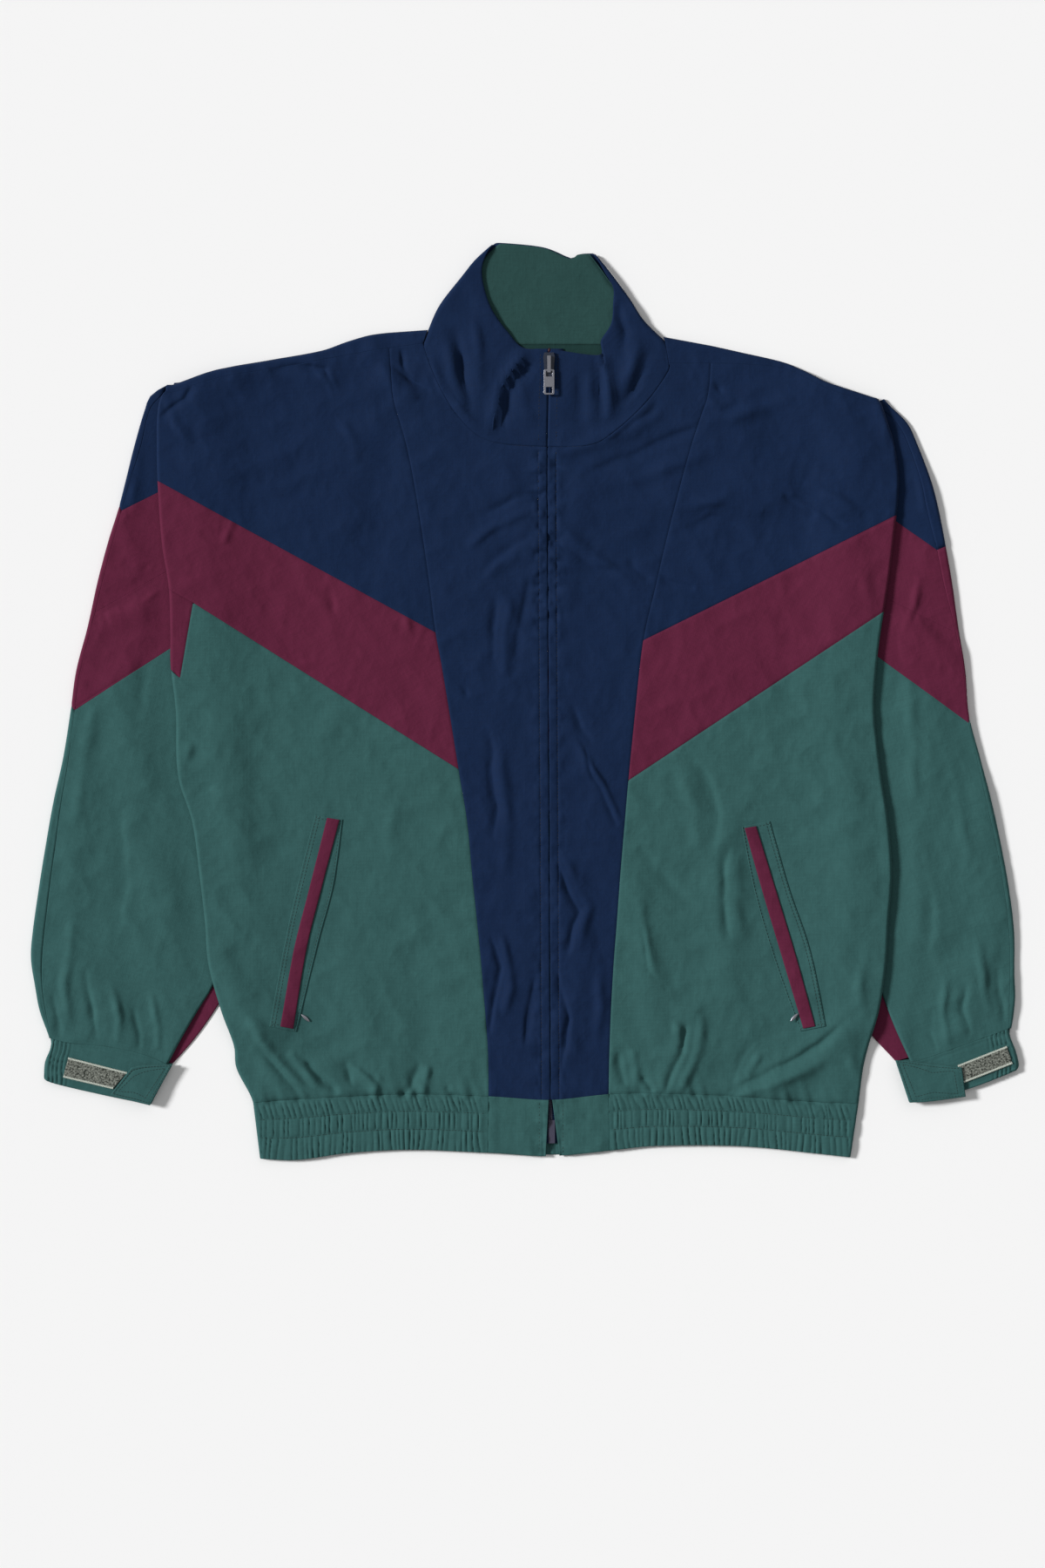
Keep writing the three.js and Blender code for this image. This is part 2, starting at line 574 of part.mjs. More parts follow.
// Height of a made panel at a point, by the flat faces of its grid
function heightOn(rows) {
  return (x, y) => {
    for (let j = 0; j < rows.length - 1; j += 1) {
      for (let i = 0; i < rows[j].length - 1; i += 1) {
        const a = rows[j][i];
        const b = rows[j + 1][i];
        const c = rows[j + 1][i + 1];
        const d = rows[j][i + 1];
        for (const [p, q, r] of [[a, b, c], [a, c, d]]) {
          const area = (q.x - p.x) * (r.y - p.y) - (r.x - p.x) * (q.y - p.y);
          const u = ((q.x - x) * (r.y - y) - (r.x - x) * (q.y - y)) / area;
          const v = ((r.x - x) * (p.y - y) - (p.x - x) * (r.y - y)) / area;
          const w = 1 - u - v;
          if (u >= -1e-6 && v >= -1e-6 && w >= -1e-6) return u * p.z + v * q.z + w * r.z;
        }
      }
    }
    return frontLevel(x, y);
  };
}

// Level at which the rolled edge of an upper layer stops above the layer below it
const onBack = (x, y) => backLevel(x, y) + clothWall / 2 + layerGap + 0.3;
const onFloorCloth = () => clothWall + layerGap;

// Fronts of the body
const bandTop = { left: { edge: 190.5, seam: 60 }, right: { edge: 161, seam: 53.2 } };
const bandLow = { left: { edge: 97, seam: -57.8 }, right: { edge: 78, seam: -67.5 } };
const hemJoin = (x) => column(hemBand, 'x', x, 'join');
const hemLow = (x) => column(hemBand, 'x', x, 'low');
const across = 8;
const yokeRows = 8;
const bandRows = 5;
const lowerRows = 12;
const neckAcross = 4;

function seamOf(side, from, to, count) {
  return levelLine(bodySections, `${side}Seam`, from, to, count);
}
function edgeOf(side, from, to, count) {
  return levelLine(bodySections, `${side}Edge`, from, to, count);
}

const frontRows = {};
const neckPoints = {};
for (const side of ['left', 'right']) {
  const sign = side === 'left' ? -1 : 1;
  const shoulder = side === 'left' ? leftShoulder : rightShoulder;
  const shoulderEnd = side === 'left' ? -313.2 : 305.6;
  const shoulderEndLevel = side === 'left' ? 262.2 : 257.6;
  const seamStart = side === 'left' ? 304.2 : 291.8;
  const seamX = column(bodySections, 'y', seamStart, `${side}Seam`);
  const neckEnd = side === 'left' ? -88 : 124;
  const top = widthLine(shoulder, 'seam', shoulderEnd, seamX, across);
  const outer = edgeOf(side, shoulderEndLevel, bandTop[side].edge, yokeRows);
  top[0].copy(outer[0]);
  const inner = seamOf(side, seamStart, bandTop[side].seam, yokeRows);
  inner[0].copy(top[across]);
  const neckCorner = spot(neckEnd, column(shoulder, 'x', neckEnd, 'seam'));
  const upper = straight(outer[yokeRows], inner[yokeRows], across);
  const rolled = side === 'left' ? { left: 'roll' } : { right: 'roll' };
  const order = (t, b, o, i) => (side === 'left'
    ? between(t, b, o, i)
    : between([...t].reverse(), [...b].reverse(), i, o));
  addPanel(`front_yoke_${side}`, order(top, upper, outer, inner), rolled, frontLevel, onBack, navy);

  const bandOuter = edgeOf(side, bandTop[side].edge, bandLow[side].edge, bandRows);
  const bandInner = seamOf(side, bandTop[side].seam, bandLow[side].seam, bandRows);
  const lower = side === 'left'
    ? [...straight(bandOuter[bandRows], spot(-285.8, 85.5), 1),
      ...straight(spot(-285.8, 85.5), bandInner[bandRows], across - 1).slice(1)]
    : straight(bandOuter[bandRows], bandInner[bandRows], across);
  addPanel(`front_band_${side}`, order(upper, lower, bandOuter, bandInner), rolled,
    frontLevel, onBack, maroon);

  const joinEdge = side === 'left' ? -234.5 : 287.5;
  const joinSeam = sign < 0 ? -31.5 : 72;
  const sideStart = side === 'left' ? 31.5 : bandLow.right.edge;
  const lowOuter = edgeOf(side, sideStart, hemJoin(joinEdge), lowerRows);
  lowOuter[lowerRows].set(joinEdge, hemJoin(joinEdge));
  const lowInner = seamOf(side, bandLow[side].seam, hemJoin(joinSeam), lowerRows);
  lowInner[lowerRows].set(joinSeam, hemJoin(joinSeam));
  const join = widthLine(hemBand, 'join', joinEdge, joinSeam, across);
  const lowTop = side === 'left'
    ? [lowOuter[0], ...lower.slice(1)]
    : lower;
  frontRows[`lower_${side}`] = addPanel(`front_lower_${side}`, order(lowTop, join, lowOuter, lowInner),
    rolled, frontLevel, onBack, green);

  // Zip panels run the whole height, their rows match the seams beside them
  const seamRows = [...inner.slice(0, yokeRows), ...bandInner.slice(0, bandRows), ...lowInner];
  const zipTop = 219.8;
  const zipEnd = hemJoin(22);
  const zipRows = seamRows.map((_, k) => {
    const y = zipTop + (zipEnd - zipTop) * k / (seamRows.length - 1);
    return spot(column(bodySections, 'y', y, 'zip') + sign * 0.25, y);
  });
  const neckHalf = neckSeam.filter((p) => (side === 'left' ? p.x < 0 : p.x > 40) && p.y < 309);
  const neckPart = line([neckCorner, ...(side === 'left' ? neckHalf : neckHalf.reverse()),
    zipRows[0]], neckAcross);
  neckPart[0].copy(neckCorner);
  neckPart[neckAcross].copy(zipRows[0]);
  neckPoints[side] = neckPart;
  const neckLine = [seamRows[0], ...neckPart];
  const foot = widthLine(hemBand, 'join', joinSeam, zipRows[zipRows.length - 1].x, neckAcross + 1);
  foot[0].copy(seamRows[seamRows.length - 1]);
  foot[foot.length - 1].copy(zipRows[zipRows.length - 1]);
  frontRows[`panel_${side}`] = addPanel(`front_panel_${side}`, order(neckLine, foot, seamRows, zipRows), {},
    frontLevel, onBack, navy);

  // Shoulder strip: the part of the back yoke in front of the fold
  const stripEnd = side === 'left' ? -303 : 303;
  const stripSeam = [...top, neckCorner];
  const fold = stripSeam.map((p, k) => (k === 0
    ? spot(stripEnd, column(shoulder, 'x', stripEnd, 'fold'))
    : spot(p.x, column(shoulder, 'x', p.x, 'fold'))));
  const endLine = straight(fold[0], stripSeam[0], 2);
  const neckLineShort = straight(fold[fold.length - 1], neckCorner, 2);
  const strip = side === 'left'
    ? between(fold, stripSeam, endLine, neckLineShort)
    : between([...fold].reverse(), [...stripSeam].reverse(), neckLineShort, endLine);
  addPanel(`shoulder_${side}`, strip, { top: 'roll', ...rolled }, frontLevel, onBack, navy);
}

// Part of the side panel that shows at the left
{
  const low = 37;
  const outer = edgeOf('left', 97, low, 4);
  const corner = spot(-285.8, 85.5);
  const tip = spot(bodyEdge('leftEdge', 31.5), 31.5);
  const seamEnd = new THREE.Vector2().lerpVectors(tip, corner, (low - tip.y) / (corner.y - tip.y));
  const seam = straight(corner, seamEnd, 4);
  addPanel('side_panel_left',
    between(straight(outer[0], corner, 2), straight(outer[4], seamEnd, 2), outer, seam),
    { left: 'roll' }, frontLevel, onBack, maroon);
}

// Back of the body, plain: columns close together where it rises over the sleeves
const backInset = 1;
const backSteps = [0, 16, 32, 48];
const backMiddle = 7;
const collarSeamBack = line([spot(-86.2, 311.5), spot(-40, 309.4), spot(10, 307.9), spot(60, 307.9),
  spot(100, 309), spot(119, 312)], 4);
function backEdge(side, from, to, count) {
  const sign = side === 'left' ? 1 : -1;
  return edgeOf(side, from, to, count).map((p) => spot(p.x + sign * backInset, p.y));
}
function backRow(left, right, drop) {
  const out = [];
  const width = right.x - left.x;
  const steps = [...backSteps];
  const inner = width - 2 * backSteps[3];
  for (let k = 1; k <= backMiddle; k += 1) steps.push(backSteps[3] + inner * k / (backMiddle + 1));
  for (const step of [...backSteps].reverse()) steps.push(width - step);
  for (const step of steps) {
    const t = step / width;
    out.push(spot(left.x + step, left.y + (right.y - left.y) * t - drop * Math.sin(Math.PI * t)));
  }
  return out;
}
{
  const left = backEdge('left', 275, 190, 4);
  const right = backEdge('right', 261, 161, 4);
  const shoulderRow = (shoulder, x) => spot(x, column(shoulder, 'x', x, 'fold') - 3);
  const top = [
    ...backSteps.map((step) => shoulderRow(leftShoulder, left[0].x + step)),
    shoulderRow(leftShoulder, -165), ...collarSeamBack, shoulderRow(rightShoulder, 190),
    ...[...backSteps].reverse().map((step) => shoulderRow(rightShoulder, right[0].x - step)),
  ];
  top[0].copy(left[0]);
  top[top.length - 1].copy(right[0]);
  const bandUp = backRow(left[4], right[4], 120);
  addPanel('back_yoke', between(top, bandUp, left, right), { top: 'plain', left: 'plain', right: 'plain' },
    backLevel, null, navy);
  const bandLeft = backEdge('left', 190, 97, 3);
  const bandRight = backEdge('right', 161, 78, 3);
  const bandDown = backRow(bandLeft[3], bandRight[3], 130);
  addPanel('back_band', between(bandUp, bandDown, bandLeft, bandRight), { left: 'plain', right: 'plain' },
    backLevel, null, maroon);
  const count = 12;
  const lowLeft = backEdge('left', 97, hemJoin(-234.5), count);
  const lowRight = backEdge('right', 78, hemJoin(287.5), count);
  const join = backRow(lowLeft[count], lowRight[count], -4);
  addPanel('back_lower', between(bandDown, join, lowLeft, lowRight), { left: 'plain', right: 'plain' },
    backLevel, null, green);
  const hemLeft = straight(join[0], spot(-227, -391.5), 1);
  const hemRight = straight(join[join.length - 1], spot(279, -391.5), 1);
  const foot = join.map((p) => {
    const t = (p.x - join[0].x) / (join[join.length - 1].x - join[0].x);
    const x = -227 + 506 * t;
    return spot(x, column(hemBand, 'x', x, 'low') + 1);
  });
  foot[0].copy(hemLeft[1]);
  foot[foot.length - 1].copy(hemRight[1]);
  addPanel('hem_back', between(join, foot, hemLeft, hemRight),
    { left: 'plain', right: 'plain', bottom: 'plain' }, backLevel, null, green);
}

// Sleeves: fronts, outer strip that turns round to the back, underarm panel
const sleeves = {
  left: {
    table: leftSleeveSections,
    parts: [
      { name: 'top', look: navy, seam: [264.8, 165], inner: [262, 190], rows: 6 },
      { name: 'band_upper', look: maroon, seam: [165, 77.5], inner: [190, 122], rows: 3 },
      { name: 'band_lower', look: maroon, seam: [77.5, -7], inner: [122, 58], rows: 3 },
      { name: 'lower', look: green, seam: [-7, -289.5], inner: [58, -312.5], rows: 11 },
    ],
  },
  right: {
    table: rightSleeveSections,
    parts: [
      { name: 'top', look: navy, seam: [258, 131], inner: [252, 168], rows: 6 },
      { name: 'band_upper', look: maroon, seam: [131, 60], inner: [168, 98], rows: 3 },
      { name: 'band_lower', look: maroon, seam: [60, -18], inner: [98, 52], rows: 3 },
      { name: 'lower', look: green, seam: [-18, -281], inner: [52, -309.8], rows: 11 },
    ],
  },
};
// How many steps across a sleeve, and how far its back reaches in under the body
const sleeveAcross = 5;
const backUnderBody = 20;

// Where the sleeves join the cuffs, from the outer end inwards
const cuffJoin = {
  left: line([spot(-408, -289.5), spot(-393, -293.4), spot(-357.8, -297), spot(-327, -304),
    spot(-308.2, -312.2)], sleeveAcross),
  right: line([spot(416.4, -281), spot(409.5, -284), spot(374.2, -296.6), spot(343.5, -307.6),
    spot(332.2, -309.8)], sleeveAcross),
};
const cuffBackJoin = {
  left: [spot(-409.4, -289.4), spot(-304, -311.4)],
  right: [spot(418.3, -280.8), spot(319.5, -309.4)],
};

for (const side of ['left', 'right']) {
  const { table, parts } = sleeves[side];
  const sign = side === 'left' ? 1 : -1;
  const at = (name, y) => column(table, 'y', y, name);
  const order = (t, b, o, i) => (side === 'left'
    ? between(t, b, o, i)
    : between([...t].reverse(), [...b].reverse(), i, o));
  const inward = side === 'left' ? 'right' : 'left';
  for (const piece of parts) {
    const outer = levelLine(table, 'seam', ...piece.seam, piece.rows);
    const inner = levelLine(table, 'inner', ...piece.inner, piece.rows);
    const top = straight(outer[0], inner[0], sleeveAcross);
    const isLast = piece.name === 'lower';
    const low = isLast ? cuffJoin[side] : straight(outer[piece.rows], inner[piece.rows], sleeveAcross);
    if (isLast) {
      outer[piece.rows].copy(low[0]);
      inner[piece.rows].copy(low[sleeveAcross]);
    }
    addPanel(`sleeve_${piece.name}_${side}`, order(top, low, outer, inner),
      { [inward]: 'roll', radius: 1 }, sleeveLevel, onFloorCloth, piece.look);
  }

  // Back half: from the seam round the outer fold to the back of the sleeve
  const halves = [
    { name: 'top', look: navy, from: parts[0], to: parts[0] },
    { name: 'band', look: maroon, from: parts[1], to: parts[2] },
    { name: 'lower', look: green, from: parts[3], to: parts[3] },
  ];
  const backInner = [];
  for (const half of halves) {
    const first = half.from;
    const count = half.from === half.to ? first.rows : first.rows + half.to.rows;
    const levels = [];
    for (const piece of new Set([half.from, half.to])) {
      for (let k = 0; k < piece.rows; k += 1) {
        const t = k / piece.rows;
        levels.push({
          seam: piece.seam[0] + (piece.seam[1] - piece.seam[0]) * t,
          inner: piece.inner[0] + (piece.inner[1] - piece.inner[0]) * t,
        });
      }
    }
    levels.push({ seam: half.to.seam[1], inner: half.to.inner[1] });
    const isTop = half.name === 'top';
    const isLow = half.name === 'lower';
    const foldRise = (k) => (isTop && k === 0 ? (side === 'left' ? 8 : 3) : isLow && k === count ? 0 : 3);
    const rows = levels.map((level, k) => {
      const foldY = level.seam + foldRise(k);
      const seamPoint = spot(at('seam', level.seam), level.seam);
      const foldPoint = spot(at('fold', foldY) + sign * clothWall / 2, foldY);
      const reach = isTop && k === 0 ? 2 : backUnderBody;
      const innerPoint = spot(at('inner', level.inner) - sign * reach, level.inner);
      if (isLow && k === count) {
        const [a, b] = cuffBackJoin[side];
        const t = (innerPoint.x - a.x) / (b.x - a.x);
        innerPoint.copy(a).lerp(b, t);
        foldPoint.x = a.x;
      }
      if (k > 0) backInner.push(innerPoint.clone());
      const inset = k === 0 ? -seamGap * 0.75 : k === count ? seamGap * 0.75 : 0;
      const points = [];
      const push = (p, z) => points.push(new THREE.Vector3(p.x, p.y + inset, z));
      const toFold = new THREE.Vector2().subVectors(foldPoint, seamPoint);
      const stripWidth = Math.max(toFold.length(), 0.5);
      toFold.normalize();
      const startPoint = seamPoint.clone().addScaledVector(toFold, seamGap / 2);
      const high = sleeveLevel(seamPoint.x, seamPoint.y);
      const halfHigh = (high - floorLevel) / 2;
      const roll = Math.min(halfHigh, stripWidth * 0.55);
      push(startPoint, high);
      for (const angle of [90, 45, 0]) {
        const a = angle * Math.PI / 180;
        const p = foldPoint.clone().addScaledVector(toFold, -roll * (1 - Math.cos(a)));
        push(p, floorLevel + halfHigh + halfHigh * Math.sin(a));
      }
      const toInner = new THREE.Vector2().subVectors(innerPoint, foldPoint);
      const backWidth = toInner.length();
      toInner.normalize();
      for (const angle of [45, 90]) {
        const a = angle * Math.PI / 180;
        const p = foldPoint.clone().addScaledVector(toInner, roll * (1 - Math.cos(a)));
        push(p, floorLevel + halfHigh - halfHigh * Math.sin(a));
      }
      push(foldPoint.clone().addScaledVector(toInner, backWidth / 2), floorLevel);
      push(foldPoint.clone().addScaledVector(toInner, backWidth), floorLevel);
      return points;
    });
    const wall = wallSolid(rows, clothWall, { top: 'square', bottom: 'square' });
    addPiece(`sleeve_back_${half.name}_${side}`, wall, half.look);
  }

  // Underarm panel, flat under the inner edge of the sleeve
  const count = backInner.length - 1;
  const outer = backInner.map((p) => spot(p.x + sign * seamGap, p.y));
  const innerLine = backInner.map((p) => spot(at('underarm', p.y), p.y));
  innerLine[count].copy(cuffBackJoin[side][1]);
  const grid = order(straight(outer[0], innerLine[0], 2), straight(outer[count], innerLine[count], 2),
    outer, innerLine);
  addPanel(`underarm_${side}`, grid, { top: 'plain', left: 'plain', right: 'plain' },
    () => floorLevel, null, maroon);
}

// Cuffs: seam line from the outer end to the strap end, then the lower edge
const cuffs = {
  left: {
    seam: [...cuffJoin.left, spot(-303.5, -311.6)],
    low: [spot(-414.6, -324), spot(-405.8, -328.5), spot(-359.2, -339.4), spot(-323.5, -346.4)],
    outer: [spot(-408, -289.5), spot(-409.5, -299), spot(-413.8, -310), spot(-414.6, -324)],
    patch: [spot(-393.3, -306), spot(-342.5, -318.8), spot(-398, -322.9), spot(-355, -333)],
    strap: {
      top: [spot(-339, -314.5), spot(-328, -312.4), spot(-303.5, -312)],
      low: [spot(-357, -337.8), spot(-345.8, -341.4), spot(-323, -347)],
    },
  },
  right: {
    seam: [...cuffJoin.right, spot(330.5, -310.2)],
    low: [spot(423.2, -316.6), spot(412.5, -321.8), spot(376.5, -334.9), spot(332, -344.4)],
    outer: [spot(416.4, -281), spot(418.8, -290), spot(422.8, -300), spot(425.6, -312),
      spot(423.2, -316.6)],
    patch: [spot(414.8, -296.2), spot(372.4, -312.8), spot(419.7, -311.2), spot(376.5, -328.1)],
    strap: {
      top: [spot(376, -314.4), spot(345, -310.6), spot(318.6, -308)],
      low: [spot(379.3, -339.6), spot(350, -343.6), spot(331, -344.8)],
    },
  },
};
const cuffFrontLevel = (x, y) => (
  floorLevel + clothWall + 1.2 + cuffWall / 2 + 0.3 * Math.sin(x / 9 + y / 14));
for (const side of ['left', 'right']) {
  const cuff = cuffs[side];
  const sign = side === 'left' ? 1 : -1;
  const pleats = cuffGathers.count * 3;
  const lowCurve = new THREE.SplineCurve(cuff.low);
  const share = cuffGathers.length / 105;
  const steps = [];
  for (let k = 0; k <= pleats; k += 1) steps.push(share * k / pleats);
  steps.push(...shares(cuff.seam).filter((t) => t > share + 0.03));
  const seam = alongChain(cuff.seam, steps);
  const low = steps.map((t) => lowCurve.getPointAt(t));
  const outer = line(cuff.outer, 3);
  const inner = straight(seam[seam.length - 1], low[low.length - 1], 3);
  const wave = (x, y) => {
    const turned = side === 'left' ? -5 * smooth(-290, -320, y) : 5 * smooth(-282, -315, y);
    const d = Math.abs(x - (seam[0].x + turned));
    const fade = 1 - smooth(cuffGathers.length * 0.75, cuffGathers.length + 2, d);
    return cuffGathers.depth * fade * Math.sin(2 * Math.PI * d * cuffGathers.count / cuffGathers.length);
  };
  const level = (x, y) => cuffFrontLevel(x, y) + wave(x, y);
  const order = (t, b, o, i) => (side === 'left'
    ? between(t, b, o, i)
    : between([...t].reverse(), [...b].reverse(), i, o));
  const fold = side === 'left' ? { left: 'roll' } : { right: 'roll' };
  const strapSide = side === 'left' ? 'right' : 'left';
  addPanel(`cuff_front_${side}`, order(seam, low, outer, inner),
    { ...fold, [strapSide]: 'plain', bottom: 'plain', radius: 1.6 },
    level, () => clothWall + layerGap, green, cuffWall);
  const [joinA, joinB] = cuffBackJoin[side];
  const backSeam = straight(joinA, joinB, 4);
  const backLow = [0, 0.25, 0.5, 0.75, 1].map((t) => lowCurve.getPointAt(t))
    .map((p) => spot(p.x + sign, p.y));
  const backOuter = line([joinA, ...cuff.outer.slice(1).map((p) => spot(p.x + sign, p.y))], 3);
  backLow[0].copy(backOuter[3]);
  const backInnerLine = straight(joinB, backLow[4], 3);
  addPanel(`cuff_back_${side}`, order(backSeam, backLow, backOuter, backInnerLine),
    { left: 'plain', right: 'plain', bottom: 'plain' }, () => floorLevel, null, green);
  const patchTop = straight(cuff.patch[0], cuff.patch[1], 3);
  const patchLow = straight(cuff.patch[2], cuff.patch[3], 3);
  const patchLift = cuffWall / 2 + layerGap + thinWall / 2 + 0.1;
  const patchOuter = straight(patchTop[0], patchLow[0], 1);
  const patchInner = straight(patchTop[3], patchLow[3], 1);
  const plain = { top: 'plain', left: 'plain', right: 'plain', bottom: 'plain' };
  addPanel(`cuff_patch_${side}`, order(patchTop, patchLow, patchOuter, patchInner), plain,
    (x, y) => cuffFrontLevel(x, y) + patchLift + cuffGathers.depth * 0.6, null, olive, thinWall);
  const strapTop = line(cuff.strap.top, 5);
  const strapLow = line(cuff.strap.low, 5);
  const strapLift = patchLift + cuffGathers.depth * 0.6 + thinWall / 2 + layerGap + clothWall / 2;
  addPanel(`cuff_strap_${side}`,
    order(strapTop, strapLow, straight(strapTop[0], strapLow[0], 3), straight(strapTop[5], strapLow[5], 3)),
    plain, (x, y) => cuffFrontLevel(x, y) + strapLift, null, green);
}

// Hem band: gathered fronts, plain tabs beside the zip
const hemPuff = 0.5;
function hemWave(x) {
  const left = x < 0;
  const start = left ? -231 : 73;
  const end = left ? -34 : 282;
  const count = left ? hemGathers.left : hemGathers.right;
  const t = (x - start) / (end - start);
  if (t < 0 || t > 1) return 0;
  const fade = smooth(0, 0.02, t) * smooth(0, 0.02, 1 - t);
  return hemGathers.depth * fade * Math.sin(2 * Math.PI * count * t);
}
function hemLevel(x, y) {
  const join = hemJoin(x);
  const t = Math.min(Math.max((join - y) / (join - hemLow(x)), 0), 1);
  const gather = hemWave(x) * smooth(0, 0.12, t);
  return backLevel(x, y) + clothWall + airUnderFront + 0.1 + gather + hemPuff * Math.sin(Math.PI * t) * 0.5;
}
const hemRows = 3;
for (const side of ['left', 'right']) {
  const left = side === 'left';
  const outX = left ? -234.5 : 287.5;
  const seamX = left ? -31.5 : 72;
  const waves = left ? hemGathers.left : hemGathers.right;
  const start = left ? -231 : 73;
  const end = left ? -34 : 282;
  const xs = [left ? outX : seamX];
  for (let k = 0; k < waves * 2; k += 1) xs.push(start + (end - start) * (k + 0.5) / (waves * 2));
  xs.push(left ? seamX : outX);
  const outLow = left ? -228.5 : 280.5;
  const seamLow = left ? -32.2 : 72.8;
  const squeeze = (x) => (left
    ? outLow + (x - outX) * (seamLow - outLow) / (seamX - outX)
    : seamLow + (x - seamX) * (outLow - seamLow) / (outX - seamX));
  const top = xs.map((x) => spot(x, hemJoin(x)));
  const low = xs.map((x) => spot(squeeze(x), hemLow(squeeze(x))));
  const lefts = straight(top[0], low[0], hemRows);
  const rights = straight(top[top.length - 1], low[low.length - 1], hemRows);
  const fold = left ? { left: 'roll' } : { right: 'roll' };
  addPanel(`hem_gather_${side}`, between(top, low, lefts, rights),
    { ...fold, bottom: 'plain', radius: 1.6 }, hemLevel, () => clothWall + layerGap, green, thinWall);

  const zipTopX = left ? 20.4 : 23.4;
  const zipLowX = left ? 17.8 : 29.6;
  const tabTop = widthLine(hemBand, 'join', seamX, zipTopX, 4);
  const tabLow = widthLine(hemBand, 'low', seamLow, zipLowX, 4);
  const a = straight(tabTop[0], tabLow[0], 3);
  const b = straight(tabTop[4], tabLow[4], 3);
  const tab = left ? between(tabTop, tabLow, a, b)
    : between([...tabTop].reverse(), [...tabLow].reverse(), b, a);
  addPanel(`hem_tab_${side}`, tab, { bottom: 'plain' }, (x, y) => frontLevel(x, y) + 0.2, null, green);
}

// Collar
{
  const rows = 6;
  const cols = 8;
  const leftSeam = halved(neckPoints.left);
  const rightSeam = halved([...[...neckPoints.right].reverse(), spot(120.5, 311)]);
  const leftCols = leftSeam.length - 1;
  const rightCols = rightSeam.length - 1;
  const zipLeft = straight(leftSeam[leftCols], spot(20.2, 304.5), rows);
  const zipRight = straight(rightSeam[0], spot(20.9, 304.5), rows);
  const mouthLeft = line(collarMouthLeft, leftCols);
  mouthLeft[leftCols].copy(zipLeft[rows]);
  const mouthRight = line([...collarMouthRight].reverse(), rightCols);
  mouthRight[0].copy(zipRight[rows]);
  const sideLeft = line([leftSeam[0], ...collarSideLeft.slice(1)], rows);
  const sideRight = line([rightSeam[rightCols], ...collarSideRight.slice(1)], rows);
  mouthLeft[0].copy(sideLeft[rows]);
  mouthRight[rightCols].copy(sideRight[rows]);
  frontRows.collar_left = addPanel('collar_left', between(leftSeam, mouthLeft, sideLeft, zipLeft),
    { left: 'roll', bottom: 'plain', radius: 2 }, frontLevel, onFloorCloth, navy);
  frontRows.collar_right = addPanel('collar_right', between(rightSeam, mouthRight, zipRight, sideRight),
    { right: 'roll', bottom: 'plain', radius: 2 }, frontLevel, onFloorCloth, navy);

  const backSeam = halved(collarSeamBack);
  const backSideLeft = line([collarSeamBack[0],
    ...collarSideLeft.slice(1).map((p) => spot(p.x + 1.6, p.y - 0.8))], rows);
  const backSideRight = line([collarSeamBack[4],
    ...collarSideRight.slice(1).map((p) => spot(p.x - 1.6, p.y - 0.8))], rows);
  const backTop = line(collarTop, cols);
  backTop[0].copy(backSideLeft[rows]);
  backTop[cols].copy(backSideRight[rows]);
  const plain = { left: 'plain', right: 'plain', bottom: 'plain' };
  addPanel('collar_back', between(backSeam, backTop, backSideLeft, backSideRight), plain,
    () => floorLevel, null, navy);
  const insideLevel = floorLevel + clothWall / 2 + layerGap + thinWall / 2;
  const middle = spot(16, 340);
  const shrink = (p) => spot(middle.x + (p.x - middle.x) * 0.93, middle.y + (p.y - middle.y) * 0.955 + 1.4);
  const inSeam = backSeam.map(shrink).map((p) => spot(p.x, 308));
  const inTop = backTop.map(shrink);
  const inLeft = backSideLeft.map(shrink);
  const inRight = backSideRight.map(shrink);
  inLeft[0].copy(inSeam[0]);
  inRight[0].copy(inSeam[cols]);
  addPanel('collar_inside', between(inSeam, inTop, inLeft, inRight), plain, () => insideLevel,
    null, greenDark, thinWall);
  const facingTop = straight(spot(-58, 307.8), spot(92, 307.8), 4);
  const facingLow = line([spot(-52, 294), spot(20, 286), spot(86, 294)], 4);
  addPanel('neck_facing', between(facingTop, facingLow, straight(facingTop[0], facingLow[0], 1),
    straight(facingTop[4], facingLow[4], 1)), plain, () => insideLevel, null, greenDark, thinWall);
}

// Zip: tapes under the lips, slider, pull tab and bottom box
const zipAt = (y) => column(bodySections, 'y', y, 'zip');
const tapeDrop = clothWall / 2 + layerGap + zipTapeWall / 2 + 0.1;
const zipPlain = { top: 'plain', bottom: 'plain', left: 'plain', right: 'plain' };
for (const side of ['left', 'right']) {
  const left = side === 'left';
  const toward = (row, distance) => {
    const edge = row[left ? row.length - 1 : 0];
    const next = row[left ? row.length - 2 : 1];
    const t = distance / Math.hypot(next.x - edge.x, next.y - edge.y);
    return new THREE.Vector3().lerpVectors(edge, next, Math.min(t, 1));
  };
  const chain = [...frontRows[`collar_${side}`].slice(1).reverse(), ...frontRows[`panel_${side}`]];
  const rows = chain.map((row) => {
    const near = toward(row, 0.2);
    const far = toward(row, zipTapeWidth);
    return (left ? [far, near] : [near, far]).map((p) => p.clone().setZ(p.z - tapeDrop));
  });
  for (const step of [0.35, 0.8]) {
    const y = -343 - step * 47;
    const nearX = zipAt(y) + (left ? -0.3 : 0.3);
    const farX = nearX + (left ? -zipTapeWidth : zipTapeWidth);
    const z = frontLevel(nearX, y) - tapeDrop;
    const pair = [new THREE.Vector3(nearX, y, z), new THREE.Vector3(farX, y, z)];
    rows.push(left ? pair.reverse() : pair);
  }
  addPiece(`zip_tape_${side}`, wallSolid(rows, zipTapeWall, zipPlain), navy);
}

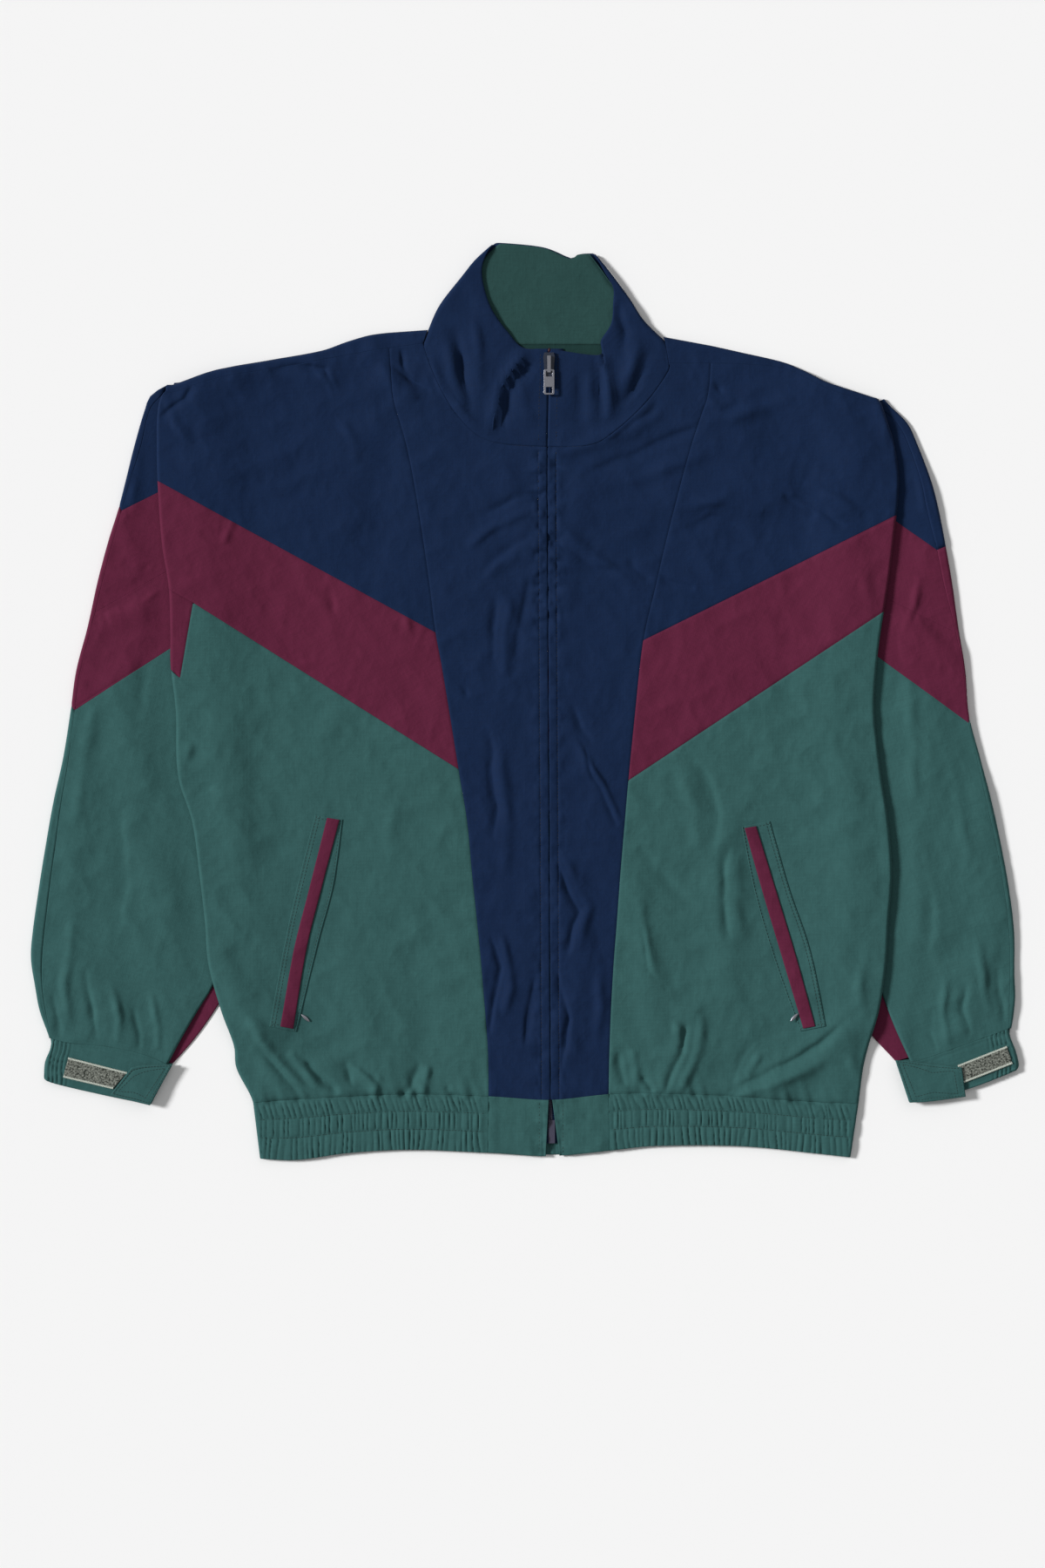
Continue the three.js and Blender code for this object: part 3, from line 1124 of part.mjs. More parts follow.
const solids = await Module();
solids.setup();
function asGeometry(solid) {
  const mesh = solid.getMesh();
  const positions = [];
  for (let k = 0; k < mesh.numVert; k += 1) {
    for (let axis = 0; axis < 3; axis += 1) positions.push(mesh.vertProperties[k * mesh.numProp + axis]);
  }
  const geometry = new THREE.BufferGeometry();
  geometry.setAttribute('position', new THREE.Float32BufferAttribute(positions, 3));
  geometry.setIndex([...mesh.triVerts]);
  geometry.computeVertexNormals();
  return geometry;
}
function box(x, y, z, width, length, height) {
  return solids.Manifold.cube([width, length, height], true).translate([x, y, z]);
}
function plate(points, thickness, z) {
  return new solids.CrossSection([points]).extrude(thickness).translate([0, 0, z]);
}
function rounded(width, length, radius, x, y) {
  const out = [];
  for (let corner = 0; corner < 4; corner += 1) {
    const cx = x + (corner === 0 || corner === 3 ? 1 : -1) * (width / 2 - radius);
    const cy = y + (corner < 2 ? 1 : -1) * (length / 2 - radius);
    for (let k = 0; k <= 3; k += 1) {
      const angle = (corner + k / 3) * Math.PI / 2;
      out.push([cx + radius * Math.cos(angle), cy + radius * Math.sin(angle)]);
    }
  }
  return out;
}
{
  const topY = 300.8;
  const sliderY = topY - sliderLength / 2;
  const deck = Math.max(frontLevel(zipCentre, topY), frontLevel(zipCentre, 279)) + clothWall / 2 + 0.5;
  const half = sliderWidth / 2;
  const outline = [
    [zipCentre - half * 0.8, topY - sliderLength], [zipCentre + half * 0.8, topY - sliderLength],
    [zipCentre + half * 0.86, sliderY], [zipCentre + half, topY - 4], [zipCentre + half * 0.8, topY],
    [zipCentre - half * 0.8, topY], [zipCentre - half, topY - 4], [zipCentre - half * 0.86, sliderY],
  ];
  const roof = deck + sliderWall;
  const bridgeTop = roof + bridgeTunnel + bridgeWall;
  const bridgeEnd = 283.4;
  const bridgeY = bridgeEnd + bridgeLength / 2;
  const leg = 1.1;
  const legZ = (roof + bridgeTop) / 2 - 0.1;
  const legHeight = bridgeTop - roof + 0.2;
  const slider = plate(outline, sliderWall, deck)
    .add(box(zipCentre, bridgeY, bridgeTop - bridgeWall / 2, bridgeWidth, bridgeLength, bridgeWall))
    .add(box(zipCentre, bridgeEnd + leg / 2, legZ, bridgeWidth, leg, legHeight))
    .add(box(zipCentre, bridgeEnd + bridgeLength - leg, legZ, bridgeWidth, leg * 2, legHeight));
  addPiece('zip_slider', asGeometry(slider), steel);

  // Pull tab: its bar runs through the bridge, its eye goes round the bridge's lower leg
  const axisY = 285.5;
  const axisZ = roof + bridgeTunnel / 2;
  const pullTop = axisY + pullBar / 2;
  const pullY = pullTop - pullLength / 2;
  const eyeY = pullTop - pullBar - pullEye / 2;
  const holeY = pullTop - pullLength + 1.3 + 2.6;
  const pullUnder = axisZ - pullWall / 2;
  const eyeCut = plate(rounded(pullEyeWidth, pullEye, 0.5, zipCentre, eyeY), pullWall + 2, pullUnder - 1);
  const holeCut = plate(rounded(5.6, 5.2, 0.5, zipCentre, holeY), pullWall + 2, pullUnder - 1);
  const pull = plate(rounded(pullWidth, pullLength, 1.2, zipCentre, pullY), pullWall, pullUnder)
    .subtract(eyeCut)
    .subtract(holeCut);
  addPiece('zip_pull', asGeometry(pull), steel);

  const boxZ = frontLevel(22.9, -370) - clothWall / 2 - layerGap + 0.9;
  addPiece('zip_box', asGeometry(box(22.9, -370, boxZ, 5.6, 20, 1.1)), darkPlastic);
}

// Pockets: stitched flange on the lower front, welt on the flange, zip pull at its lower end
const pockets = {
  left: {
    welt: { a: [spot(-170.5, -99.5), spot(-187, -165), spot(-199.5, -215), spot(-210.5, -279)],
      b: [spot(-159.8, -101.3), spot(-176, -163), spot(-188.5, -214), spot(-199.5, -281.2)] },
    flange: { a: [spot(-181, -97), spot(-196, -157), spot(-208, -212), spot(-220, -279)],
      b: [spot(-157.2, -101), spot(-165, -157), spot(-178.5, -208), spot(-197, -284)] },
    pull: { x: -189.2, y: -272, turn: -0.72, lift: clothWall / 2 },
  },
  right: {
    welt: { a: [spot(189, -108.5), spot(205, -165), spot(222, -222), spot(239.5, -281)],
      b: [spot(199, -106.8), spot(217, -165), spot(233, -218), spot(249.8, -279)] },
    flange: { a: [spot(186.5, -107), spot(198, -165), spot(216, -226), spot(237, -283.5)],
      b: [spot(210.8, -102.5), spot(227.6, -161), spot(245.5, -214), spot(258.8, -279)] },
    pull: { x: 231.6, y: -271.4, turn: -2.3, lift: 2.3 },
  },
};
for (const side of ['left', 'right']) {
  const pocket = pockets[side];
  const ground = heightOn(frontRows[`lower_${side}`]);
  const flangeLift = clothWall / 2 + layerGap + thinWall / 2 + 0.35;
  const weltLift = flangeLift + thinWall + layerGap + 0.2;
  const flangeLevel = (x, y) => ground(x, y) + flangeLift;
  const flange = (points) => line(points, 12);
  const flangeA = flange(pocket.flange.a);
  const flangeB = flange(pocket.flange.b);
  const flangeTop = straight(flangeA[0], flangeB[0], 2);
  const flangeEnd = straight(flangeA[12], flangeB[12], 2);
  addPanel(`pocket_flange_${side}`, between(flangeTop, flangeEnd, flangeA, flangeB), zipPlain,
    flangeLevel, null, green, thinWall);
  const weltA = line(pocket.welt.a, 12);
  const weltB = line(pocket.welt.b, 12);
  const weltTop = straight(weltA[0], weltB[0], 1);
  const weltEnd = straight(weltA[12], weltB[12], 1);
  addPanel(`pocket_welt_${side}`, between(weltTop, weltEnd, weltA, weltB), zipPlain,
    (x, y) => ground(x, y) + weltLift, null, maroon, thinWall);
  const { x, y, turn, lift } = pocket.pull;
  const pull = solids.Manifold.cylinder(9, 1.1, 1.1, 8).rotate([90, 0, 0]).scale([1.5, 1, 0.6])
    .rotate([0, 0, THREE.MathUtils.radToDeg(turn) + 90])
    .translate([x, y, ground(x, y) + lift + layerGap + 0.7]);
  addPiece(`pocket_pull_${side}`, asGeometry(pull), steel);
}

export default jacket;
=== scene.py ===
import math

import bpy
import numpy as np
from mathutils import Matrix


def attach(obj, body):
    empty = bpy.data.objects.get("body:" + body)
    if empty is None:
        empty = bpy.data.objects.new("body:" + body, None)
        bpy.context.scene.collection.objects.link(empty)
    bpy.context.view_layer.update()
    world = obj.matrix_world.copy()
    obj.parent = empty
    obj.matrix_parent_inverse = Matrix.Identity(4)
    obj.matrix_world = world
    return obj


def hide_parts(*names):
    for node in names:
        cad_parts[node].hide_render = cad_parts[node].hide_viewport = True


# Windbreaker jacket laid flat. Tables are in millimetres: X across, Y towards the collar, Z up.

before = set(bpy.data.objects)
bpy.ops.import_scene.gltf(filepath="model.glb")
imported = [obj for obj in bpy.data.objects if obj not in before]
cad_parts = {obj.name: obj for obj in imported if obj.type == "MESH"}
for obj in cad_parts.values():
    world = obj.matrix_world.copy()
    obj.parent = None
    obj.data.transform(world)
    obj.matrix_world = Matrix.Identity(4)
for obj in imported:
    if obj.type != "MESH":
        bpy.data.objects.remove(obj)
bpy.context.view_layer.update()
mm = 0.001
print("windbreaker jacket: frame loaded with", len(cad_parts), "solids")

# Sections of the body: level, left edge, left seam, zip, right seam, right edge
bodySections = np.array([
    [320, -303, -118, 21, 161, 303], [276, -303, -115, 20.6, 159, 303],
    [262.5, -313, -114, 19.8, 157, 305.2], [248, -316.5, -110, 19.5, 152, 310],
    [224, -317.2, -103, 19.2, 144, 317.5], [190, -316.5, -96, 19, 134.5, 321.8],
    [137, -312.8, -87.5, 19.4, 121, 317], [98, -306.8, -82, 19.6, 112, 312],
    [60, -305.5, -77.2, 19.8, 103, 306], [32, -305.2, -72, 20, 99, 302.8],
    [-7, -301, -65.5, 20.2, 95, 300.8], [-63, -299, -56.5, 20.5, 89.4, 306.8],
    [-102, -287, -50, 20.8, 86, 312.8], [-149, -280.5, -45.5, 21, 82, 316],
    [-190, -275.8, -41.2, 21.2, 79, 313], [-225, -273, -37.8, 21.3, 76.3, 311],
    [-265, -262, -34.5, 21.5, 74, 305], [-296, -251, -32.2, 21.7, 72.8, 296],
    [-315, -249, -31.6, 21.8, 72.3, 291.5], [-345, -234.5, -31.5, 22, 72, 287.5],
    [-396, -228, -31.8, 24, 72.6, 280],
])

# Sections of the sleeves: level, outer fold, seam inside it, inner edge of the front,
# edge of the underarm panel
leftSleeveSections = np.array([
    [276, -303.5, -303, -297, -289], [264.8, -322, -312.8, -297, -288],
    [252.8, -327.6, -323, -298, -289], [220.5, -337, -331, -299, -290],
    [190, -344.5, -340.5, -298, -289], [165, -351, -347.5, -297, -288],
    [139, -359.2, -354.8, -295, -286], [102, -369, -364.5, -290, -281],
    [64.5, -377.2, -373.5, -288, -279], [27, -387, -383, -287, -278],
    [-10.5, -392.2, -388.5, -283, -274], [-48, -398.2, -393, -281, -272],
    [-85.5, -406.5, -399.3, -275, -266], [-123, -413.2, -404.5, -266, -257],
    [-160.5, -419.2, -409.5, -262, -253], [-198, -424.5, -414, -259, -249],
    [-220.5, -426, -416, -261, -249], [-244.5, -422.5, -416, -269.2, -255.8],
    [-265.5, -418.5, -413, -282, -267.5], [-289.5, -410, -408, -296, -284.5],
    [-312.5, -404, -402, -308.2, -304.5],
])
rightSleeveSections = np.array([
    [276, 300, 299, 292, 284], [258, 312, 301.5, 292, 284], [241, 329, 320, 296, 287],
    [225, 337, 329, 300, 291], [190, 350.2, 341, 304, 295], [163.5, 357, 346.5, 302, 293],
    [131, 363.2, 354.8, 299, 290], [102, 368.2, 360.7, 295, 286], [64.5, 373.5, 370.2, 288, 279],
    [27, 379.5, 377.5, 284, 275], [-10.5, 382.5, 380.8, 283, 274], [-48, 392.2, 389.2, 287, 278],
    [-85.5, 402, 397.3, 292, 283], [-123, 410.2, 405.8, 297, 288], [-160.5, 417, 412.5, 298, 289],
    [-198, 421.5, 417, 297, 287], [-235.5, 421.8, 417.8, 302, 286], [-255, 422.4, 417.4, 309, 289],
    [-281, 419, 416.4, 319, 294.5], [-309.8, 410, 408, 332.2, 320.2],
])

# Shoulders: place across, top fold and the seam in front of it
leftShoulder = np.array([
    [-303, 273, 266.5], [-264.8, 286.5, 278.8], [-219.8, 294.8, 286.8], [-174.8, 303, 295],
    [-152.2, 311, 299], [-129.8, 317, 303], [-88, 320.6, 309],
])
rightShoulder = np.array([
    [121, 314.8, 291.8], [147.8, 309.8, 291.8], [185.2, 301.5, 291.2], [222.8, 292.5, 287.5],
    [241.5, 284.8, 279.5], [260.2, 275.5, 270], [303, 261, 256],
])

# Collar outlines
neckSeam = np.array([
    [-87.8, 310.5], [-78.8, 282.8], [-62.2, 252], [-40.5, 229.5], [-17.2, 222], [20.2, 219.8],
    [52.5, 220.5], [72.8, 229.5], [103.5, 257.2], [123, 284.2], [120.5, 311],
])
collarSideLeft = np.array([
    [-87.8, 310.5], [-83.2, 321], [-73.1, 342.8], [-53.2, 368.2], [-42, 381.8], [-27, 395],
])
collarSideRight = np.array([
    [120.5, 311], [101.2, 330], [88.5, 349.5], [70.5, 373.5], [59.2, 387],
])
collarTop = np.array([
    [-27, 395], [-20.2, 396], [15.8, 392.2], [39.8, 382.8], [48, 386.4], [59.2, 387],
])
collarMouthLeft = np.array([
    [-27, 395], [-33, 386.2], [-37.1, 373.5], [-35.2, 357], [-27.8, 336.8], [-13.5, 317.2],
    [-1.2, 305.2], [20.2, 304.5],
])
collarMouthRight = np.array([
    [59.2, 387], [68.6, 369.8], [75.8, 357], [75.8, 344.2], [74.2, 326.2], [65.2, 311.2],
    [63.8, 299], [20.9, 304.5],
])

# Hem band: place across, level where it joins the body and level of its lower edge
hemBand = np.array([
    [-234.5, -345, -393], [-197.2, -342, -394.4], [-152.2, -339.5, -388.4], [-99.8, -337.5, -385.6],
    [-31.5, -339.4, -388.2], [22, -342.4, -391], [72, -337.6, -386.5], [110.2, -336.6, -382.4],
    [185.2, -339.6, -382.4], [252.8, -344.6, -389], [287.5, -345.4, -393],
])

# Broad soft folds: start, end, half width and height (troughs below zero)
frontFolds = np.array([
    [-285, 262, -250, 205, 13, 1.6], [-245, 283, -165, 290, 10, 1.2],
    [-205, 262, -150, 245, 14, -1.5], [-128, 300, -100, 262, 12, 1.5],
    [-240, 190, -150, 160, 20, 1.3], [-120, 215, -140, 120, 16, -1.2],
    [125, 258, 190, 225, 14, 1.5], [120, 142, 232, 146, 15, -1.8],
    [130, 178, 215, 182, 18, 1.4], [232, 262, 290, 215, 15, 1.3],
    [262, 170, 285, 70, 17, 1.2], [-20, 195, 10, 120, 12, 1.2],
    [50, 185, 34, 90, 12, 1.3], [-225, 60, -140, -20, 22, -1.2],
    [-262, -20, -245, -120, 15, 1.5], [-268, -222, -205, -330, 13, 1.9],
    [-240, -215, -172, -325, 14, -1.5], [-218, -262, -160, -334, 12, 2],
    [-150, -240, -118, -330, 14, 1.2], [-92, -225, -78, -330, 12, -1.2],
    [30, -145, 46, -205, 10, 1.6], [46, -205, 36, -300, 10, 1.4],
    [98, -168, 114, -284, 12, 1.6], [172, -115, 174, -250, 15, 1.4],
    [205, -100, 215, -200, 18, -1.2], [298, -280, 205, -333, 12, 2],
    [262, -262, 168, -322, 12, -1.4], [142, -270, 118, -334, 11, 1.6],
    [275, -60, 292, -170, 15, 1.4], [150, 20, 240, -40, 24, 1.1],
])
collarFolds = np.array([
    [-10, 286, -28, 240, 9, -1], [-44, 300, -50, 250, 10, 1.1],
    [-62, 318, -46, 262, 7, -0.9], [72, 300, 78, 248, 8, -0.9],
    [98, 300, 92, 262, 10, 1],
])
sleeveFolds = np.array([
    [-372, 80, -300, 116, 9, -1.1], [-368, 60, -318, 84, 10, 1.2],
    [-352, 20, -330, -70, 14, 1.2], [-385, -60, -392, -170, 13, 1.2],
    [-340, -110, -300, -180, 14, 1.3], [-395, -215, -350, -285, 13, 1.3],
    [-340, -215, -318, -290, 12, -1.1], [372, 60, 312, 94, 9, -1.1],
    [366, 40, 322, 70, 10, 1.2], [348, 5, 352, -80, 13, 1.2],
    [392, -80, 404, -190, 12, 1.2], [330, -120, 350, -200, 14, 1.3],
    [398, -215, 372, -285, 13, 1.3], [345, -225, 342, -298, 11, -1.1],
])
# How the cloth lies and how thick it is, and how deep the troughs of its folds go at most
cloth = {
    "wall": 1.5,
    "thinWall": 1.1,
    "cuffWall": 1.9,
    "pinchedAir": 0.5,
    "airUnderSleeve": 1.9,
    "airUnderFront": 2.5,
    "backLift": 3.9,
    "liftWidth": 32,
    "liftRamp": 16,
    "foldReach": 2.6,
    "foldScale": 1.5,
    "creaseScale": 2.3,
    "creaseWidth": 0.62,
    "crumple": 1.2,
    "cell": 1.8,
    "hiddenCell": 6,
    "rollRadius": 2.4,
    "troughLimit": 2.2,
    "sleeveTroughLimit": 1.6,
}
floorLevel = cloth["wall"] / 2
zipMiddle = 20.6
bodyColumns = ["y", "leftEdge", "leftSeam", "zip", "rightSeam", "rightEdge"]
sleeveColumns = ["y", "fold", "seam", "inner", "underarm"]


def smooth(low, high, value):
    # soft step from 0 to 1: 3t^2 - 2t^3
    t = np.clip((value - low) / (high - low), 0, 1)
    return t * t * (3 - 2 * t)


def column(table, index, level):
    # cubic through the rows of a table, each with the slope between its neighbours
    rows = table[np.argsort(table[:, 0])]
    keys, values = rows[:, 0], rows[:, index]
    level = np.asarray(level, float)
    last = len(keys) - 1
    i = np.clip(np.searchsorted(keys, level) - 1, 0, last - 1)
    before, after = np.maximum(i - 1, 0), np.minimum(i + 2, last)
    span = keys[i + 1] - keys[i]
    t = np.clip((level - keys[i]) / span, 0, 1)
    slopeA = (values[i + 1] - values[before]) / (keys[i + 1] - keys[before]) * span
    slopeB = (values[after] - values[i]) / (keys[after] - keys[i]) * span
    return (
        (2 * t**3 - 3 * t**2 + 1) * values[i]
        + (t**3 - 2 * t**2 + t) * slopeA
        + (3 * t**2 - 2 * t**3) * values[i + 1]
        + (t**3 - t**2) * slopeB
    )


def bodyLine(name, y):
    # one line of the body at given levels
    return column(bodySections, bodyColumns.index(name), y)


def softNoise(x, y, size, seed):
    # random values from -1 to 1 on a square lattice, joined by soft steps
    lattice = np.random.default_rng(seed).uniform(-1, 1, (128, 128))
    u, v = np.asarray(x) / size + 640.5, np.asarray(y) / size + 640.5
    i, j = np.floor(u).astype(int), np.floor(v).astype(int)
    s, t = u - i, v - j
    s, t = s * s * (3 - 2 * s), t * t * (3 - 2 * t)
    i0, i1, j0, j1 = i % 128, (i + 1) % 128, j % 128, (j + 1) % 128
    low = lattice[i0, j0] * (1 - s) + lattice[i1, j0] * s
    high = lattice[i0, j1] * (1 - s) + lattice[i1, j1] * s
    return low * (1 - t) + high * t


def nearLine(points, x, y):
    # distance to a chain of straight steps, signed to its left, and the share of the chain passed
    points = np.asarray(points, float)
    steps = np.diff(points, axis=0)
    lengths = np.hypot(steps[:, 0], steps[:, 1])
    total = lengths.sum()
    best = np.full(np.shape(x), 1e9)
    share = np.zeros(np.shape(x))
    start = 0.0
    for (px, py), (dx, dy), length in zip(points[:-1], steps, lengths):
        t = np.clip(((x - px) * dx + (y - py) * dy) / length**2, 0, 1)
        away = np.hypot(x - px - t * dx, y - py - t * dy)
        side = np.sign((x - px) * dy - (y - py) * dx)
        closer = away < np.abs(best)
        best = np.where(closer, away * np.where(side == 0, 1, side), best)
        share = np.where(closer, (start + t * length) / total, share)
        start += length
    return best, share


def foldHeight(table, x, y, reach):
    # sum of ridges, each its height times exp(-distance^2), kept within a reach by tanh
    warpedX = x + 3.2 * softNoise(x, y, 36, 11)
    warpedY = y + 3.2 * softNoise(x, y, 36, 12)
    total = np.zeros(np.shape(x))
    for x1, y1, x2, y2, width, height in table:
        dx, dy = x2 - x1, y2 - y1
        length = math.hypot(dx, dy)
        along = ((warpedX - x1) * dx + (warpedY - y1) * dy) / length**2
        aside = ((warpedX - x1) * dy - (warpedY - y1) * dx) / length
        past = np.maximum(0, np.maximum(-along, along - 1)) * length
        total += height * np.exp(-(aside**2 + past**2) / width**2)
    return reach * np.tanh(cloth["foldScale"] * total / reach)


def creaseHeight(table, x, y):
    # each crease is steep on one side and soft on the other, and fades at both ends
    total = np.zeros(np.shape(x))
    bentX = x + 1.6 * softNoise(x, y, 17, 31)
    bentY = y + 1.6 * softNoise(x, y, 17, 32)
    for number, (points, width, height, lean) in enumerate(table):
        corners = np.asarray(points, float)
        low, high = corners.min(0) - 3 * width, corners.max(0) + 3 * width
        close = (x > low[0]) & (x < high[0]) & (y > low[1]) & (y < high[1])
        if not close.any():
            continue
        away, share = nearLine(corners, bentX[close], bentY[close])
        wide = cloth["creaseWidth"] * width * np.where(away > 0, 1 + lean, 1 - lean)
        fade = np.sin(np.pi * np.clip(share, 0.001, 0.999)) ** 0.6
        uneven = 1 + 0.35 * np.sin(9 * share + number)
        total[close] += height * fade * uneven * np.exp(-((away / wide) ** 2))
    return cloth["creaseScale"] * total


# Creases seen on the fronts: points, half width, height (troughs below zero), lean
frontCreases = [
    ([(-315, 245), (-292, 262), (-286, 274)], 5, -1.3, 0.3),
    ([(-312, 268), (-300, 238), (-285, 222)], 7, 1.0, -0.2),
    ([(-220, 286), (-196, 291), (-172, 286), (-162, 264)], 6, -1.2, 0.4),
    ([(-184, 290), (-168, 275), (-164, 262)], 7, 1.1, -0.3),
    ([(-114, 289), (-97, 276), (-80, 269)], 4, -1.2, 0.3),
    ([(-106, 306), (-105, 290), (-100, 276)], 4, -0.9, -0.2),
    ([(-126, 292), (-110, 270), (-92, 262)], 8, 0.9, 0),
    ([(8, 167), (-25, 150), (-52, 133)], 7, 0.9, 0.3),
    ([(14, 150), (-10, 134), (-38, 110)], 6, -0.7, 0.2),
    ([(12, 186), (-14, 172), (-40, 160)], 6, -0.8, 0.2),
    ([(10, 130), (-20, 122), (-44, 96)], 9, 0.7, 0),
    ([(-24, 90), (-28, 62), (-26, 36)], 5, -1.1, 0.3),
    ([(3, 108), (-5, 68), (-8, 36)], 6, -0.9, -0.3),
    ([(-14, 92), (-17, 60), (-16, 20)], 7, 0.9, 0),
    ([(-250, 158), (-262, 136)], 5, 0.6, 0),
    ([(-170, 100), (-161, 70)], 6, -0.6, 0.3),
    ([(-106, 80), (-96, 56)], 6, 0.6, 0),
    ([(-322, 205), (-300, 212), (-250, 200), (-200, 210)], 16, 0.7, 0),
    ([(-160, 245), (-148, 225), (-146, 205)], 8, 0.6, 0),
    ([(26, 212), (92, 235), (118, 253)], 8, 1.2, 0.2),
    ([(54, 198), (98, 215), (158, 242)], 7, -1.0, 0.2),
    ([(60, 184), (110, 196), (170, 222)], 10, 0.8, 0),
    ([(144, 238), (204, 252), (232, 262)], 10, 1.1, 0),
    ([(126, 144), (160, 157), (176, 154), (184, 146), (216, 138)], 8, -1.7, 0.4),
    ([(130, 168), (172, 174), (206, 160)], 9, 0.9, -0.2),
    ([(222, 180), (238, 170), (252, 161)], 5, -1.1, 0.3),
    ([(232, 180), (258, 164), (276, 150)], 5, -0.9, 0.3),
    ([(240, 190), (268, 176), (288, 160)], 7, 0.8, 0),
    ([(162, 276), (170, 266)], 4, -1.1, 0),
    ([(150, 262), (166, 254), (180, 262)], 7, 0.8, 0),
    ([(114, 109), (146, 98)], 5, -1.0, 0.3),
    ([(88, 122), (108, 104)], 5, -0.9, 0.3),
    ([(34, 138), (60, 116), (86, 112)], 6, -0.8, 0.2),
    ([(30, 152), (58, 128), (100, 96)], 8, 0.8, 0.2),
    ([(312, 242), (316, 218), (323, 208)], 5, -1.0, 0.3),
    ([(300, 262), (310, 240), (314, 214)], 7, 0.8, 0),
    ([(290, 120), (298, 88), (296, 60)], 9, 0.7, 0),
    ([(-287, -33), (-298, -62)], 10, 1.2, 0.2),
    ([(-298, -66), (-280, -72), (-267, -73)], 6, -0.7, 0.2),
    ([(-150, -28), (-117, -44), (-100, -40)], 10, -0.9, 0.3),
    ([(-160, 0), (-170, -34)], 12, 0.5, 0),
    ([(-108, -78), (-116, -110), (-112, -140)], 12, 0.6, 0),
    ([(-274, -225), (-263, -247)], 4, -0.9, 0.3),
    ([(-230, -295), (-197, -331), (-179, -342)], 6, -1.4, 0.3),
    ([(-241, -273), (-214, -309), (-188, -340)], 7, 1.5, -0.2),
    ([(-190, -309), (-161, -337)], 5, -1.6, 0.3),
    ([(-204, -300), (-176, -334)], 6, 1.3, 0),
    ([(-155, -309), (-148, -331)], 5, -1.2, 0.3),
    ([(-153, -309), (-117, -340)], 6, 1.1, 0.2),
    ([(-91, -309), (-97, -331), (-106, -341)], 4, -1.4, 0.4),
    ([(-84, -312), (-88, -338)], 5, 1.2, 0),
    ([(-69, -331), (-60, -340)], 4, -1.0, 0),
    ([(-124, -322), (-132, -340)], 5, 0.9, 0),
    ([(-256, -260), (-226, -282), (-206, -290)], 9, 0.8, 0),
    ([(-31, -22), (-25, -88), (-27, -119)], 5, -1.2, 0.3),
    ([(-22, -30), (-16, -100), (-18, -150)], 8, 0.9, 0),
    ([(-29, -203), (-20, -229), (-25, -256), (-31, -287)], 4, -1.4, 0.3),
    ([(-20, -200), (-12, -232), (-16, -270)], 6, 1.0, 0),
    ([(8, -238), (2, -273), (0, -296)], 5, -1.2, -0.3),
    ([(-55, 13), (-49, 4)], 4, -0.7, 0),
    ([(39, 0), (48, -22), (59, -35)], 5, -1.0, 0.3),
    ([(40, -30), (62, -62), (81, -102)], 6, 1.3, 0.3),
    ([(50, -40), (66, -76), (79, -106)], 4, -1.3, 0.3),
    ([(28, -141), (46, -181), (35, -220)], 5, -1.2, 0.3),
    ([(34, -132), (54, -176), (46, -214)], 7, 0.9, 0),
    ([(26, -229), (39, -273), (30, -318)], 5, -1.1, 0.3),
    ([(62, -215), (66, -262), (60, -300)], 7, 0.7, 0),
    ([(141, -44), (158, -70), (167, -97), (163, -123)], 8, -1.0, 0.3),
    ([(130, -52), (148, -92), (150, -128)], 10, 0.7, 0),
    ([(174, -123), (172, -168), (176, -203)], 6, -1.1, 0.3),
    ([(184, -130), (183, -176), (188, -206)], 8, 0.7, 0),
    ([(97, -123), (127, -159), (150, -180)], 8, -0.7, 0.2),
    ([(97, -168), (104, -210), (114, -238)], 7, 1.0, 0),
    ([(99, -185), (108, -229), (114, -238)], 4, -0.9, 0.3),
    ([(128, -273), (136, -296)], 6, 0.9, 0),
    ([(139, -274), (137, -300), (120, -336)], 5, -1.4, 0.3),
    ([(152, -268), (150, -300), (132, -338)], 6, 1.1, 0),
    ([(172, -335), (207, -322), (251, -296), (277, -273)], 6, -1.3, 0.3),
    ([(180, -341), (224, -325), (264, -304)], 7, 1.3, 0.2),
    ([(198, -291), (183, -313), (176, -335)], 5, -1.1, 0.3),
    ([(206, -300), (192, -322)], 6, 0.9, 0),
    ([(79, -300), (86, -331)], 5, -1.1, 0.3),
    ([(101, -322), (110, -335)], 4, -1.0, 0),
    ([(92, -300), (98, -334)], 6, 0.9, 0),
    ([(262, -292), (282, -306), (290, -330)], 7, 0.9, 0),
    ([(296, -215), (288, -245), (292, -275)], 8, 0.8, 0),
    ([(306, -70), (314, -130), (312, -180)], 9, 0.7, 0),
]

